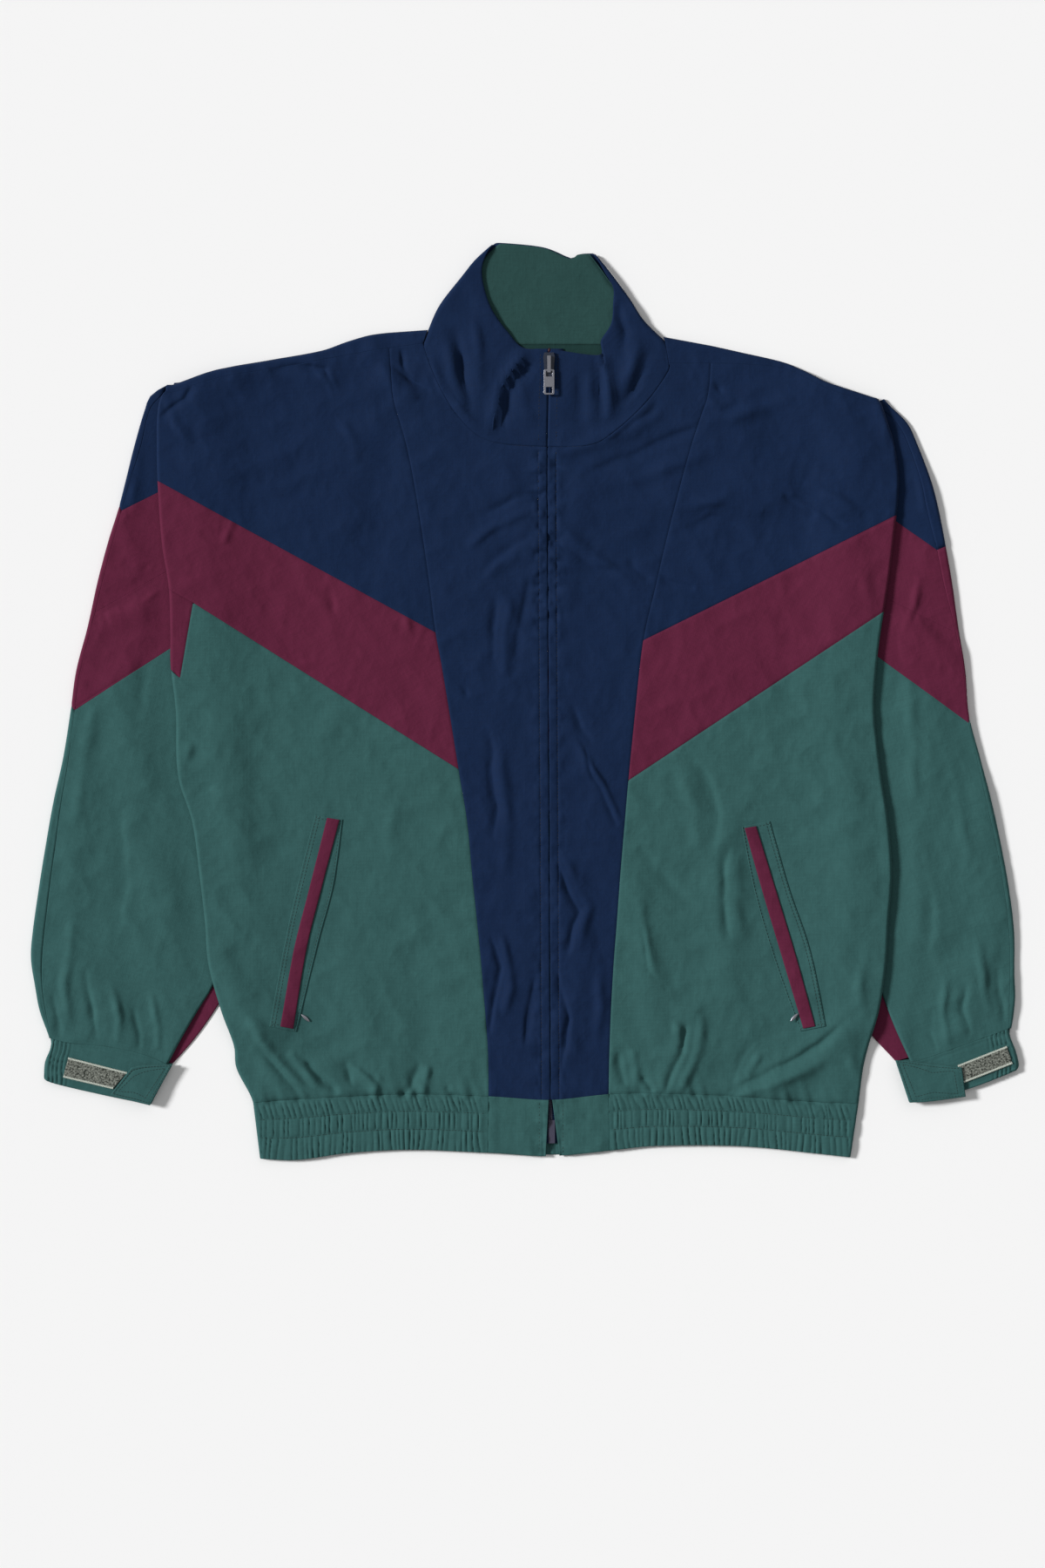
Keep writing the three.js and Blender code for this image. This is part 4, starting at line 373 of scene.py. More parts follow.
# Creases of the collar and the sleeves, in the same form
collarCreases = [
    ([(1.5, 300.8), (-20.2, 271.5), (-24, 258.8), (-29, 229.5)], 6, 2.8, 0.6),
    ([(6, 292), (-14, 266), (-19, 248), (-22, 236)], 4, -1.5, 0.2),
    ([(66, 300), (70, 268), (73, 243)], 6, 2.4, -0.6),
    ([(61, 296), (65, 268), (69, 244)], 3.5, -1.2, 0),
    ([(-60, 322), (-53, 285), (-46, 246)], 5, -1.5, 0.3),
    ([(-70, 318), (-62, 285), (-52, 254)], 7, 1.2, 0),
    ([(-44, 330), (-40, 300), (-38, 268)], 6, 1.1, 0.2),
    ([(-84, 300), (-72, 272), (-54, 246), (-34, 234)], 5, 1.4, -0.2),
    ([(108, 304), (102, 288), (94, 268), (84, 254)], 5, -1.5, 0.3),
    ([(98, 312), (92, 290), (84, 268)], 6, 1.2, 0),
    ([(80, 344), (86, 320), (84, 296)], 6, -1.1, 0.3),
    ([(48, 290), (50, 262), (48, 236)], 5, -1.1, 0.3),
    ([(54, 284), (57, 258), (56, 240)], 6, 1.1, 0),
    ([(-8, 288), (-2, 264), (2, 240)], 7, 0.8, 0),
    ([(112, 262), (96, 246), (74, 232), (48, 227)], 6, 1.2, 0.2),
]
sleeveCreases = [
    ([(-318, 250), (-322, 222), (-318, 196)], 5, -0.9, 0.3),
    ([(-330, 214), (-334, 190), (-338, 168)], 6, 0.7, 0),
    ([(-312, 130), (-322, 118), (-330, 112)], 4, -1.0, 0.3),
    ([(-308, 108), (-316, 96), (-330, 84)], 4, 1.0, 0),
    ([(-312, 60), (-326, 30), (-330, -6)], 7, -0.8, 0.3),
    ([(-306, 0), (-310, -50), (-306, -100)], 8, 0.8, 0),
    ([(-372, 0), (-380, -60), (-388, -110)], 9, 0.6, 0),
    ([(-350, -90), (-344, -150), (-352, -200)], 9, -0.7, 0.3),
    ([(-390, -190), (-396, -240), (-392, -280)], 6, 0.9, 0),
    ([(-380, -230), (-372, -262), (-368, -290)], 5, -1.0, 0.3),
    ([(-356, -240), (-350, -272), (-352, -294)], 5, 0.9, 0),
    ([(-338, -262), (-332, -284), (-334, -298)], 4, -0.9, 0.3),
    ([(-322, -250), (-316, -280), (-318, -302)], 5, 0.8, 0),
    ([(-406, -250), (-402, -272), (-401, -288)], 4, -0.8, 0.2),
    ([(322, 250), (324, 226), (330, 196)], 4, -1.1, 0.3),
    ([(334, 214), (340, 186), (346, 160)], 6, 0.8, 0),
    ([(326, 168), (328, 140), (324, 108)], 6, -0.7, 0.3),
    ([(340, 108), (336, 84), (326, 60)], 5, 0.9, 0),
    ([(318, 66), (322, 30), (316, -10)], 7, -0.9, 0.3),
    ([(330, 20), (336, -40), (332, -90)], 9, 0.8, 0),
    ([(366, -40), (376, -100), (384, -150)], 9, 0.6, 0),
    ([(340, -130), (350, -180), (346, -230)], 9, -0.7, 0.3),
    ([(388, -200), (396, -240), (398, -268)], 6, 0.9, 0),
    ([(380, -240), (378, -266), (384, -288)], 5, -1.0, 0.3),
    ([(362, -236), (360, -270), (364, -296)], 5, 0.9, 0),
    ([(350, -262), (350, -286), (354, -302)], 4, -0.8, 0.3),
    ([(408, -230), (410, -256), (412, -276)], 4, -0.8, 0.2),
]
sleeveSeams = [
    ([(-347.5, 165), (-298, 190)], 0.25),
    ([(-373, 70), (-293, 122)], 0.8),
    ([(-391, -7), (-288, 58)], 0.25),
    ([(354.8, 131), (302, 168)], 0.25),
    ([(370.6, 60), (294.5, 98)], 0.5),
    ([(381, -18), (286, 52)], 0.25),
]

# Lines along which panels are sewn: the cloth dips there and puckers a little beside it
seamLines = [
    [(-317.5, 191), (-77.2, 60)],
    [(-306.8, 97), (-285.8, 85.5), (-56, -57.8)],
    [(321.8, 161), (102, 53.2)],
    [(308, 78), (89.4, -67.5)],
    [(-285.8, 85.5), (-297, 20.5), (-302, 27)],
    neckSeam,
    np.column_stack([bodyLine("leftSeam", np.linspace(304, -339, 40)), np.linspace(304, -339, 40)]),
    np.column_stack([bodyLine("rightSeam", np.linspace(292, -338, 40)), np.linspace(292, -338, 40)]),
]


def seamRelief(x, y):
    # a groove 0.45 mm deep along each seam, and puckers beside it whose sign follows noise along it
    total = np.zeros(np.shape(x))
    for number, points in enumerate(seamLines):
        corners = np.asarray(points, float)
        low, high = corners.min(0) - 16, corners.max(0) + 16
        close = (x > low[0]) & (x < high[0]) & (y > low[1]) & (y < high[1])
        if not close.any():
            continue
        away, share = nearLine(corners, x[close], y[close])
        travelled = share * np.hypot(*np.diff(corners, axis=0).T).sum()
        pucker = softNoise(travelled, away * 0.25, 6.5, 50 + number)
        total[close] += 0.3 * pucker * np.exp(-((np.abs(away) - 3) / 5) ** 2)
        total[close] -= 0.45 * np.exp(-((away / 1.0) ** 2))
    return total


def sleeveSeamRelief(x, y):
    # a groove along each seam and puckers beside it, strongest between the two maroon pieces
    total = np.zeros(np.shape(x))
    for number, (points, amount) in enumerate(sleeveSeams):
        away, share = nearLine(points, x, y)
        pucker = softNoise(share * 90, away * 0.2, 4.2, 90 + number)
        total += amount * pucker * np.exp(-((np.abs(away) - 3) / 5) ** 2)
        total -= 0.4 * np.exp(-((away / 1.0) ** 2))
    return total


def zipRelief(x, y):
    # short ridges across the zip line, each 5 to 9 mm apart, and a groove where the lips are stitched
    away = np.abs(x - bodyLine("zip", y))
    side = np.where(x > bodyLine("zip", y), 1.0, 0.0)
    amount = 0.9 + 1.1 * smooth(40, 90, y) * (1 - smooth(205, 225, y))
    pucker = softNoise(y + side * 900, away * 0.3, 5.5, 71)
    pucker = pucker + 0.5 * softNoise(y - side * 700, away, 3.1, 72)
    height = amount * pucker * np.exp(-(((away - 6) / 8) ** 2))
    return height - 0.5 * np.exp(-(((away - 7.6) / 0.8) ** 2)) - 0.5 * np.exp(-((away / 1.0) ** 2))


def fineWrinkles(x, y):
    # two sizes of soft noise, and thin crossing creases where a third and a fourth change sign
    wide = softNoise(x + 0.5 * y, y - 0.4 * x, 27, 4)
    narrow = softNoise(x - 0.3 * y, y + 0.5 * x, 12, 5)
    creases = 0.35 - np.sqrt(wide**2 + 0.004) - 0.4 * np.sqrt(narrow**2 + 0.01)
    return 0.3 * softNoise(x, y, 44, 1) + 0.07 * softNoise(x, y, 8, 3) + cloth["crumple"] * creases


def hemPuffs(x, y):
    # just above the hem band the cloth swells and folds fan out, fading with exp(-height above it)
    above = np.maximum(y - column(hemBand, 1, x), 0)
    inBand = smooth(-236, -222, x) * (1 - smooth(-44, -30, x))
    inBand = inBand + smooth(66, 82, x) * (1 - smooth(272, 286, x))
    fans = 2.2 * softNoise(x + 0.3 * above, 0.1 * above, 6, 23) * np.exp(-above / 8)
    fans = fans + 1.3 * softNoise(x - 0.25 * above, 0.14 * above, 12, 24) * np.exp(-above / 24)
    swell = 0.7 * np.exp(-(((above - 6) / 5) ** 2)) - 0.9 * np.exp(-((above / 1.6) ** 2))
    return (0.25 + 0.75 * inBand) * (fans + swell) * (above < 90)


def inwardFromEdge(x, y):
    # how far in from the nearer edge of the body, below zero outside it
    return np.minimum(x - bodyLine("leftEdge", y), bodyLine("rightEdge", y) - x)


def backLevel(x, y):
    # on the floor in the middle, lifted where it passes over the sleeves
    ramp = cloth["liftWidth"] + cloth["liftRamp"]
    near = 1 - smooth(cloth["liftWidth"], ramp, inwardFromEdge(x, y))
    return floorLevel + cloth["backLift"] * near * smooth(-305, -275, y)


def limited(heights, limit):
    # heights as they are, and depths brought within a limit by tanh
    return np.where(heights < 0, -limit * np.tanh(-heights / limit), heights)


def frontLevel(x, y):
    # the back's level, its wall, the air between and all the folds above
    x, y = np.broadcast_arrays(np.asarray(x, float), np.asarray(y, float))
    inCollar = smooth(-100, -60, x) * (1 - smooth(95, 130, x))
    aboveNeck = smooth(225, 262, y) * inCollar
    byZip = np.exp(-((x - zipMiddle) ** 2) / 90) * smooth(255, 270, y)
    folds = foldHeight(frontFolds, x, y, cloth["foldReach"]) * (1 - aboveNeck)
    folds = folds + creaseHeight(frontCreases, x, y) * (1 - aboveNeck)
    inward = np.maximum(inwardFromEdge(x, y), 0)
    folds = folds * (0.45 + 0.55 * smooth(0, 26, inward))
    folds = limited(folds, cloth["troughLimit"])
    zipRise = 0.5 * np.exp(-((x - zipMiddle) ** 2) / 200)
    collar = 1.3 * smooth(232, 300, y) * inCollar
    collarFold = 0.8 * foldHeight(collarFolds, x, y, 2.1) + creaseHeight(collarCreases, x, y)
    collar = collar + collarFold * inCollar * (1 - byZip)
    relief = seamRelief(x, y) + zipRelief(x, y) * (1 - aboveNeck)
    relief = relief + fineWrinkles(x, y) + hemPuffs(x, y)
    lift = cloth["backLift"] * (1 - smooth(30, 84, inward)) * smooth(-305, -275, y)
    air = cloth["airUnderFront"] - 0.9 * np.exp(-((x - zipMiddle) ** 2) / 500) * smooth(235, 262, y)
    return floorLevel + lift + cloth["wall"] + air + folds + zipRise + collar + relief * (1 - byZip)


def sleeveLevel(x, y):
    # pinched under the body's edge, open outside it
    x, y = np.broadcast_arrays(np.asarray(x, float), np.asarray(y, float))
    opening = smooth(6, 30, -inwardFromEdge(x, y))
    folds = foldHeight(sleeveFolds, x, y, cloth["foldReach"]) + creaseHeight(sleeveCreases, x, y)
    folds = folds + fineWrinkles(x, y) + sleeveSeamRelief(x, y)
    folds = limited(folds, cloth["sleeveTroughLimit"])
    return floorLevel + cloth["wall"] + cloth["pinchedAir"] + opening * (cloth["airUnderSleeve"] + folds)


# Outlines
def curve(points, perStep=14):
    # each step between two points is a cubic whose end slopes come from their neighbours
    p = np.asarray(points, float)
    last = len(p) - 1
    i = np.arange(last)
    a, b = p[i][:, None], p[i + 1][:, None]
    slopeA = (b - p[np.maximum(i - 1, 0)][:, None]) / 2
    slopeB = (p[np.minimum(i + 2, last)][:, None] - a) / 2
    t = np.linspace(0, 1, perStep, endpoint=False)[None, :, None]
    steps = (2 * a - 2 * b + slopeA + slopeB) * t**3 + (3 * b - 3 * a - 2 * slopeA - slopeB) * t**2
    return np.vstack([(steps + slopeA * t + a).reshape(-1, 2), p[-1:]])


def lengthOf(points):
    # sum of the lengths of the steps
    return np.linalg.norm(np.diff(points, axis=0), axis=-1).sum()


def along(points, shares):
    # points at given shares of a chain's length
    steps = np.linalg.norm(np.diff(points, axis=0), axis=1)
    at = np.concatenate([[0], np.cumsum(steps)]) / steps.sum()
    return np.stack([np.interp(shares, at, points[:, k]) for k in (0, 1)], -1)


def levelLine(name, start, end):
    # a line of the body between two levels
    y = np.linspace(start, end, 90)
    return np.column_stack([bodyLine(name, y), y])


def widthLine(table, index, start, end):
    # a line across, from one column of a table
    x = np.linspace(start, end, 60)
    return np.column_stack([x, column(table, index, x)])


def chain(*parts):
    # outlines one after another, without their shared points
    joined = [np.atleast_2d(np.asarray(parts[0], float))]
    for part in parts[1:]:
        part = np.atleast_2d(np.asarray(part, float))
        same = np.allclose(joined[-1][-1], part[0])
        joined.append(part[1:] if same else part)
    return np.vstack(joined)


def spacing(length, cell, first, last):
    # distances from one end: close lines near both ends and even steps between, one more than threes
    first, last = np.asarray(first, float), length - np.asarray(last, float)[::-1]
    count = max(2, int(round((last[0] - first[-1]) / cell)) + 1)
    count += -(len(first) + len(last) + count) % 3
    return np.concatenate([first[:-1], np.linspace(first[-1], last[0], count), last[1:]])


def nearLines(kind, wall, radius):
    # close lines beside an edge: a sewn one, a rolled one, or a free one with a rounded end
    if kind == "seam":
        return [0, 0.5, 1.0, 1.7, 2.7, 4.0]
    if kind == "roll":
        turns = np.linspace(0, np.pi / 2, 7)
        return list(wall / 2 + radius * (1 - np.cos(turns))) + [wall / 2 + radius + 1.2]
    return [0, 0.08 * wall, 0.25 * wall, 0.5 * wall, 0.9 * wall, 1.8]


def quarter(distance, radius):
    # a quarter circle: 0 at the edge, 1 from the radius on
    t = np.clip(distance / radius, 0, 1)
    return np.sqrt(1 - (1 - t) ** 2)


def sharesAcross(positions, total, near, far, width):
    # share of the width for each line: true distances beside both edges, even steps between them
    first, last, width = near[-1], far[-1], width[:, None]
    fit = np.minimum(1, 0.85 * width / (first + last))
    low, high = first * fit / width, 1 - last * fit / width
    middle = low + (high - low) * (positions - first) / (total - first - last)
    outside = 1 - (total - positions) * fit / width
    inside = np.where(positions >= total - last, outside, middle)
    return np.where(positions <= first, positions * fit / width, inside)


def between(top, bottom, left, right, u, v):
    # a sheet between four outlines: the mean of its two blends less that of its corners
    tops, bottoms, lefts, rights = along(top, u), along(bottom, u), along(left, v), along(right, v)
    u, v = u[..., None], v[..., None]
    corners = (1 - v) * ((1 - u) * top[0] + u * top[-1]) + v * ((1 - u) * bottom[0] + u * bottom[-1])
    return (1 - v) * tops + v * bottoms + (1 - u) * lefts + u * rights - corners


def shellNormals(points, kinds):
    # square to both grid directions; at a sewn edge without its part across the seam, at a rolled
    # one level
    du, dv = np.gradient(points, axis=1), np.gradient(points, axis=0)
    normals = np.cross(dv, du)
    normals /= np.linalg.norm(normals, axis=-1, keepdims=True) + 1e-12
    places = {
        "top": (slice(0, 1), slice(None), du),
        "bottom": (slice(-1, None), slice(None), du),
        "left": (slice(None), slice(0, 1), dv),
        "right": (slice(None), slice(-1, None), dv),
    }
    for side, (rows, columns, tangents) in places.items():
        tangent, normal = tangents[rows, columns], normals[rows, columns]
        across = np.stack([-tangent[..., 1], tangent[..., 0], np.zeros(tangent.shape[:2])], -1)
        across /= np.linalg.norm(across, axis=-1, keepdims=True) + 1e-12
        dot = (normal * across).sum(-1, keepdims=True)
        rolled = kinds.get(side) == "roll"
        fixed = across * np.where(dot < 0, -1, 1) if rolled else normal - dot * across
        normals[rows, columns] = fixed / (np.linalg.norm(fixed, axis=-1, keepdims=True) + 1e-12)
    return normals


def around(at):
    # the numbers round the rim of a grid, back to the first
    return np.concatenate([at[0, ::-1], at[1:, 0], at[-1, 1:], at[-2::-1, -1]])


def cells(at):
    # the four corner numbers of each cell of a grid
    corners = (at[:-1, :-1], at[1:, :-1], at[1:, 1:], at[:-1, 1:])
    return np.column_stack([corner.ravel() for corner in corners])


def volumeOf(vertices, faces):
    # six times the volume: the sum of p . (q x r) over the triangles of each face
    start = vertices[faces[:, 0]]
    total = 0.0
    for k in range(1, faces.shape[1] - 1):
        total += (start * np.cross(vertices[faces[:, k]], vertices[faces[:, k + 1]])).sum()
    return total


def shellMesh(name, points, normals, half, grid):
    # a closed wall: its shown face on all lines of the grid, its hidden face on every third line,
    # at the lowest level of the lines around it, and faces round the rim
    rows, columns = points.shape[:2]
    step = 3 if rows % 3 == 1 and columns % 3 == 1 else 1
    shown, hidden = points + normals * half[..., None], points - normals * half[..., None]
    if normals[..., 2].mean() > 0 and step > 1:
        level = np.pad(hidden[..., 2], step, mode="edge")
        level = np.min([level[k:k + rows] for k in range(2 * step + 1)], axis=0)
        hidden[..., 2] = np.min([level[:, k:k + columns] for k in range(2 * step + 1)], axis=0)
    hidden = hidden[::step, ::step]
    at = np.arange(rows * columns).reshape(rows, columns)
    under = rows * columns + np.arange(hidden[..., 0].size).reshape(hidden.shape[:2])
    fine, coarse = around(at), around(under)
    quads = np.concatenate([cells(at), cells(under)[:, ::-1]])
    first = np.arange(len(coarse) - 1) * step
    fineBack = [fine[first + k] for k in range(step, 0, -1)]
    rim = np.column_stack([fine[first], coarse[:-1], coarse[1:], *fineBack])
    vertices = np.vstack([shown.reshape(-1, 3), hidden.reshape(-1, 3)])
    if volumeOf(vertices, quads) + volumeOf(vertices, rim) < 0:
        quads, rim = quads[:, ::-1], rim[:, ::-1]
    mesh = bpy.data.meshes.new(name)
    mesh.from_pydata(vertices * mm, [], quads.tolist() + rim.tolist())
    mesh.polygons.foreach_set("use_smooth", np.arange(len(quads) + len(rim)) < len(quads))
    weave = mesh.uv_layers.new(name="weave")
    flat = np.concatenate([grid.reshape(-1, 2), grid[::step, ::step].reshape(-1, 2)]) * mm
    weave.data.foreach_set("uv", flat[np.concatenate([quads.ravel(), rim.ravel()])].ravel())
    mesh.update()
    return mesh


def showPiece(name, mesh, material, body="jacket"):
    # an object of the scene with its material and its body
    piece = bpy.data.objects.new(name, mesh)
    bpy.context.scene.collection.objects.link(piece)
    mesh.materials.append(material)
    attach(piece, body)
    return piece


def sizeOf(points):
    # cloth's width, length and area, measured along the grid
    width = np.linalg.norm(np.diff(points, axis=1), axis=-1).sum(1).max()
    length = np.linalg.norm(np.diff(points, axis=0), axis=-1).sum(0).max()
    sides = np.cross(np.diff(points, axis=1)[:-1], np.diff(points, axis=0)[:, :-1])
    return width, length, np.linalg.norm(sides, axis=-1).sum()


flatSizes = {}


def addSheet(name, node, points, normals, half, grid, look, gather=1.0):
    # one panel of cloth, which stands for its solid and says the size that it was cut to
    material, slot = look
    piece = showPiece(name, shellMesh(name, points, normals, half, grid), material)
    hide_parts(node)
    width, length, area = sizeOf(points)
    width, area = width * gather, area * gather
    flatSizes[name] = (round(width), round(length), round(area / 100))
    return piece


def addPanel(name, node, outlines, level, look, edges=None, edgeLevel=None, wall=None, radius=None,
             cell=None, extra=None, grain=0.0, gather=1.0):
    # a panel between four outlines (top, bottom, left, right), at the level of its layer; at a rolled
    # edge it turns down to the edge's level by a quarter circle, and at a plain one its wall is rounded
    edges = {**dict.fromkeys(["top", "bottom", "left", "right"], "seam"), **(edges or {})}
    wall = wall or cloth["wall"]
    radius = radius or cloth["rollRadius"]
    cell = cell or cloth["cell"]
    top, bottom, left, right = (np.asarray(line, float) for line in outlines)
    near = {side: nearLines(kind, wall, radius) for side, kind in edges.items()}
    for side, lines in (extra or {}).items():
        near[side] = near[side] + lines
    even = np.linspace(0, 1, 100)
    widths = np.linalg.norm(along(right, even) - along(left, even), axis=-1)
    lengths = np.linalg.norm(along(bottom, even) - along(top, even), axis=-1)
    across, down = (widths.max() + widths.mean()) / 2, (lengths.max() + lengths.mean()) / 2
    cellAcross, cellDown = cell if isinstance(cell, tuple) else (cell, cell)
    s = spacing(across, cellAcross, near["left"], near["right"])
    t = spacing(down, cellDown, near["top"], near["bottom"])
    widths, lengths = np.interp(t / down, even, widths), np.interp(s / across, even, lengths)
    u = sharesAcross(s[None], across, near["left"], near["right"], widths)
    v = sharesAcross(t[None], down, near["top"], near["bottom"], lengths).T
    xy = between(top, bottom, left, right, u, v)
    x, y = xy[..., 0], xy[..., 1]
    widths, lengths = widths[:, None], lengths[None, :]
    distances = {"left": u * widths, "right": (1 - u) * widths,
                 "top": v * lengths, "bottom": (1 - v) * lengths}
    turn, half = np.ones(x.shape), np.full(x.shape, wall / 2)
    for side, kind in edges.items():
        if kind == "roll":
            turn = turn * quarter(distances[side] - wall / 2, radius)
        elif kind == "plain":
            half = half * quarter(distances[side], 0.9 * wall)
    high = level(x, y)
    z = high if edgeLevel is None else edgeLevel(x, y) + (high - edgeLevel(x, y)) * turn
    points = np.dstack([x, y, z])
    cosine, sine = math.cos(grain), math.sin(grain)
    grid = np.dstack([cosine * x + sine * y, cosine * y - sine * x])
    return addSheet(name, node, points, shellNormals(points, edges), np.maximum(half, 0.04), grid, look,
                    gather)


# Materials
def linear(hexValue):
    # sRGB hex to linear red, green and blue
    parts = np.array([int(hexValue[k:k + 2], 16) for k in (1, 3, 5)]) / 255
    values = np.where(parts <= 0.04045, parts / 12.92, ((parts + 0.055) / 1.055) ** 2.4)
    return (*[float(v) for v in values], 1.0)


def addNode(tree, kind, settings=None, links=None, output=0):
    # a node with its settings, sockets by name or number or else its own values; gives one output
    node = tree.nodes.new(kind)
    for key, value in (settings or {}).items():
        if isinstance(key, int):
            node.inputs[key].default_value = value
        elif hasattr(node, key) and not isinstance(value, tuple):
            setattr(node, key, value)
        else:
            node.inputs[key].default_value = value
    for key, source in (links or {}).items():
        tree.links.new(source, node.inputs[key])
    return node.outputs[output] if len(node.outputs) else None


def newMaterial(name):
    # a material with an empty node tree
    material = bpy.data.materials.new(name)
    material.use_nodes = True
    tree = material.node_tree
    tree.nodes.clear()
    return material, tree


def addShader(tree, settings, links):
    # a principled shader joined to the material's output
    shader = addNode(tree, "ShaderNodeBsdfPrincipled", settings, links)
    addNode(tree, "ShaderNodeOutputMaterial", None, {"Surface": shader})


def bandScale(pitch):
    # the scale s at which slanting bands, sin(10 s (x + y)), lie a pitch in mm apart
    return 2 * math.pi / (10 * math.sqrt(2) * pitch * mm)


# Cotton and nylon poplin, plain woven and washed soft: a dull face with faint slubs along both threads.
# Its threads are 0.3 mm apart, too fine to show, so slubs 1.5 mm and a weave 1.7 mm apart are drawn.
poplin = {
    "navy": "#112341",
    "maroon": "#591f37",
    "green": "#325756",
    "greenInside": "#284644",
    # the inside's green darkened: painted shade on the neck facing, deep under the collar
    "greenPaintedShade": "#1c3634",
    "roughness": 0.8,
    "specular": 0.08,
    "sheen": 0.03,
    "weavePitch": 1.675,
    "slubPitch": 1.5,
    "slubLength": 14.0,
    "mottleSize": 16.0,
    "darkest": 0.88,
    "palest": 1.13,
    "bumpHeight": 0.16,
    "crumpleSize": 34.0,
    "crumpleHeight": 0.7,
}


def poplinMaterial(name, hexValue):
    # colour times the sum of slubs and mottle; weave and slubs raise the face, and so does its crumple
    material, tree = newMaterial(name)
    place = addNode(tree, "ShaderNodeTexCoord", output="UV")
    acrossThread, alongThread = 1 / (poplin["slubPitch"] * mm), 1 / (poplin["slubLength"] * mm)
    slubs = []
    for scale in ((alongThread, acrossThread, 1.0), (acrossThread, alongThread, 1.0)):
        mapped = addNode(tree, "ShaderNodeMapping", {"Scale": scale}, {"Vector": place})
        settings = {"Scale": 1.0, "Detail": 2.0, "Roughness": 0.6}
        slubs.append(addNode(tree, "ShaderNodeTexNoise", settings, {"Vector": mapped}))
    settings = {"Scale": bandScale(poplin["weavePitch"]), "Distortion": 1.5, "Detail": 1.0,
                "bands_direction": "DIAGONAL"}
    weave = addNode(tree, "ShaderNodeTexWave", settings, {"Vector": place}, 1)
    settings = {"Scale": 1 / (poplin["mottleSize"] * mm), "Detail": 4.0, "Roughness": 0.65}
    mottle = addNode(tree, "ShaderNodeTexNoise", settings, {"Vector": place})
    slub = addNode(tree, "ShaderNodeMath", {"operation": "ADD"}, {0: slubs[0], 1: slubs[1]})
    mixed = addNode(tree, "ShaderNodeMath", {"operation": "MULTIPLY_ADD", 1: 0.5}, {0: mottle, 2: slub})
    settings = {"From Min": 0.75, "From Max": 1.75, "To Min": poplin["darkest"], "To Max": poplin["palest"]}
    shade = addNode(tree, "ShaderNodeMapRange", settings, {"Value": mixed})
    settings = {"data_type": "RGBA", "blend_type": "MULTIPLY", 0: 1.0, 6: linear(hexValue)}
    tint = addNode(tree, "ShaderNodeMix", settings, {7: shade}, 2)
    height = addNode(tree, "ShaderNodeMath", {"operation": "MULTIPLY_ADD", 1: 0.3}, {0: weave, 2: slub})
    settings = {"noise_type": "RIDGED_MULTIFRACTAL", "Scale": 1 / (poplin["crumpleSize"] * mm),
                "Detail": 3.0, "Roughness": 0.5, "Lacunarity": 2.3, "Offset": 1.0, "Gain": 2.0}
    crumple = addNode(tree, "ShaderNodeTexNoise", settings, {"Vector": place})
    settings = {"Strength": 0.5, "Distance": poplin["crumpleHeight"] * mm}
    pressed = addNode(tree, "ShaderNodeBump", settings, {"Height": crumple})
    settings = {"Strength": 0.35, "Distance": poplin["bumpHeight"] * mm}
    bump = addNode(tree, "ShaderNodeBump", settings, {"Height": height, "Normal": pressed})
    settings = {"From Min": 0.6, "From Max": 1.4, "To Min": poplin["roughness"] - 0.06,
                "To Max": poplin["roughness"] + 0.06}
    rough = addNode(tree, "ShaderNodeMapRange", settings, {"Value": slub})
    addShader(tree, {"Specular IOR Level": poplin["specular"], "Sheen Weight": poplin["sheen"],
                     "Sheen Roughness": 0.45}, {"Base Color": tint, "Roughness": rough, "Normal": bump})
    return material


# Nylon hook tape: a dense field of stiff hooks, dull and flecked pale and dark
hookTape = {
    "pale": "#8b8f86",
    "dark": "#262a25",
    "hookPitch": 1.1,
    "fleckSize": 1.6,
    "hookHeight": 0.5,
    "roughness": 0.85,
}


def hookTapeMaterial(name):
    # flecks of noise less half the distance to the nearest hook, from dark to pale
    material, tree = newMaterial(name)
    place = addNode(tree, "ShaderNodeTexCoord", output="UV")
    settings = {"Scale": 1 / (hookTape["hookPitch"] * mm)}
    hooks = addNode(tree, "ShaderNodeTexVoronoi", settings, {"Vector": place})
    settings = {"Scale": 1 / (hookTape["fleckSize"] * mm), "Detail": 3.0}
    flecks = addNode(tree, "ShaderNodeTexNoise", settings, {"Vector": place})
    mixed = addNode(tree, "ShaderNodeMath", {"operation": "MULTIPLY_ADD", 1: -0.5}, {0: hooks, 2: flecks})
    share = addNode(tree, "ShaderNodeMapRange", {"From Min": 0.05, "From Max": 0.5}, {"Value": mixed})
    settings = {"data_type": "RGBA", 6: linear(hookTape["dark"]), 7: linear(hookTape["pale"])}
    colour = addNode(tree, "ShaderNodeMix", settings, {0: share}, 2)
    settings = {"Strength": 0.8, "Distance": hookTape["hookHeight"] * mm}
    bump = addNode(tree, "ShaderNodeBump", settings, {"Height": mixed})
    addShader(tree, {"Specular IOR Level": 0.3, "Roughness": hookTape["roughness"]},
              {"Base Color": colour, "Normal": bump})
    return material


# Spun polyester thread: a little glossier than the cloth, its twist drawn coarser, 1.4 mm apart
thread = {
    # navy, maroon and green threads are the cloth's own colours, drawn darker as painted shade of the sunken
    # stitch lines; the pale thread is its own colour
    "navy": "#0c1322",
    "maroon": "#33121f",
    "green": "#1d312f",
    "pale": "#dfe6da",
    "twistPitch": 1.396,
    "twistHeight": 0.05,
    "roughness": 0.6,
}


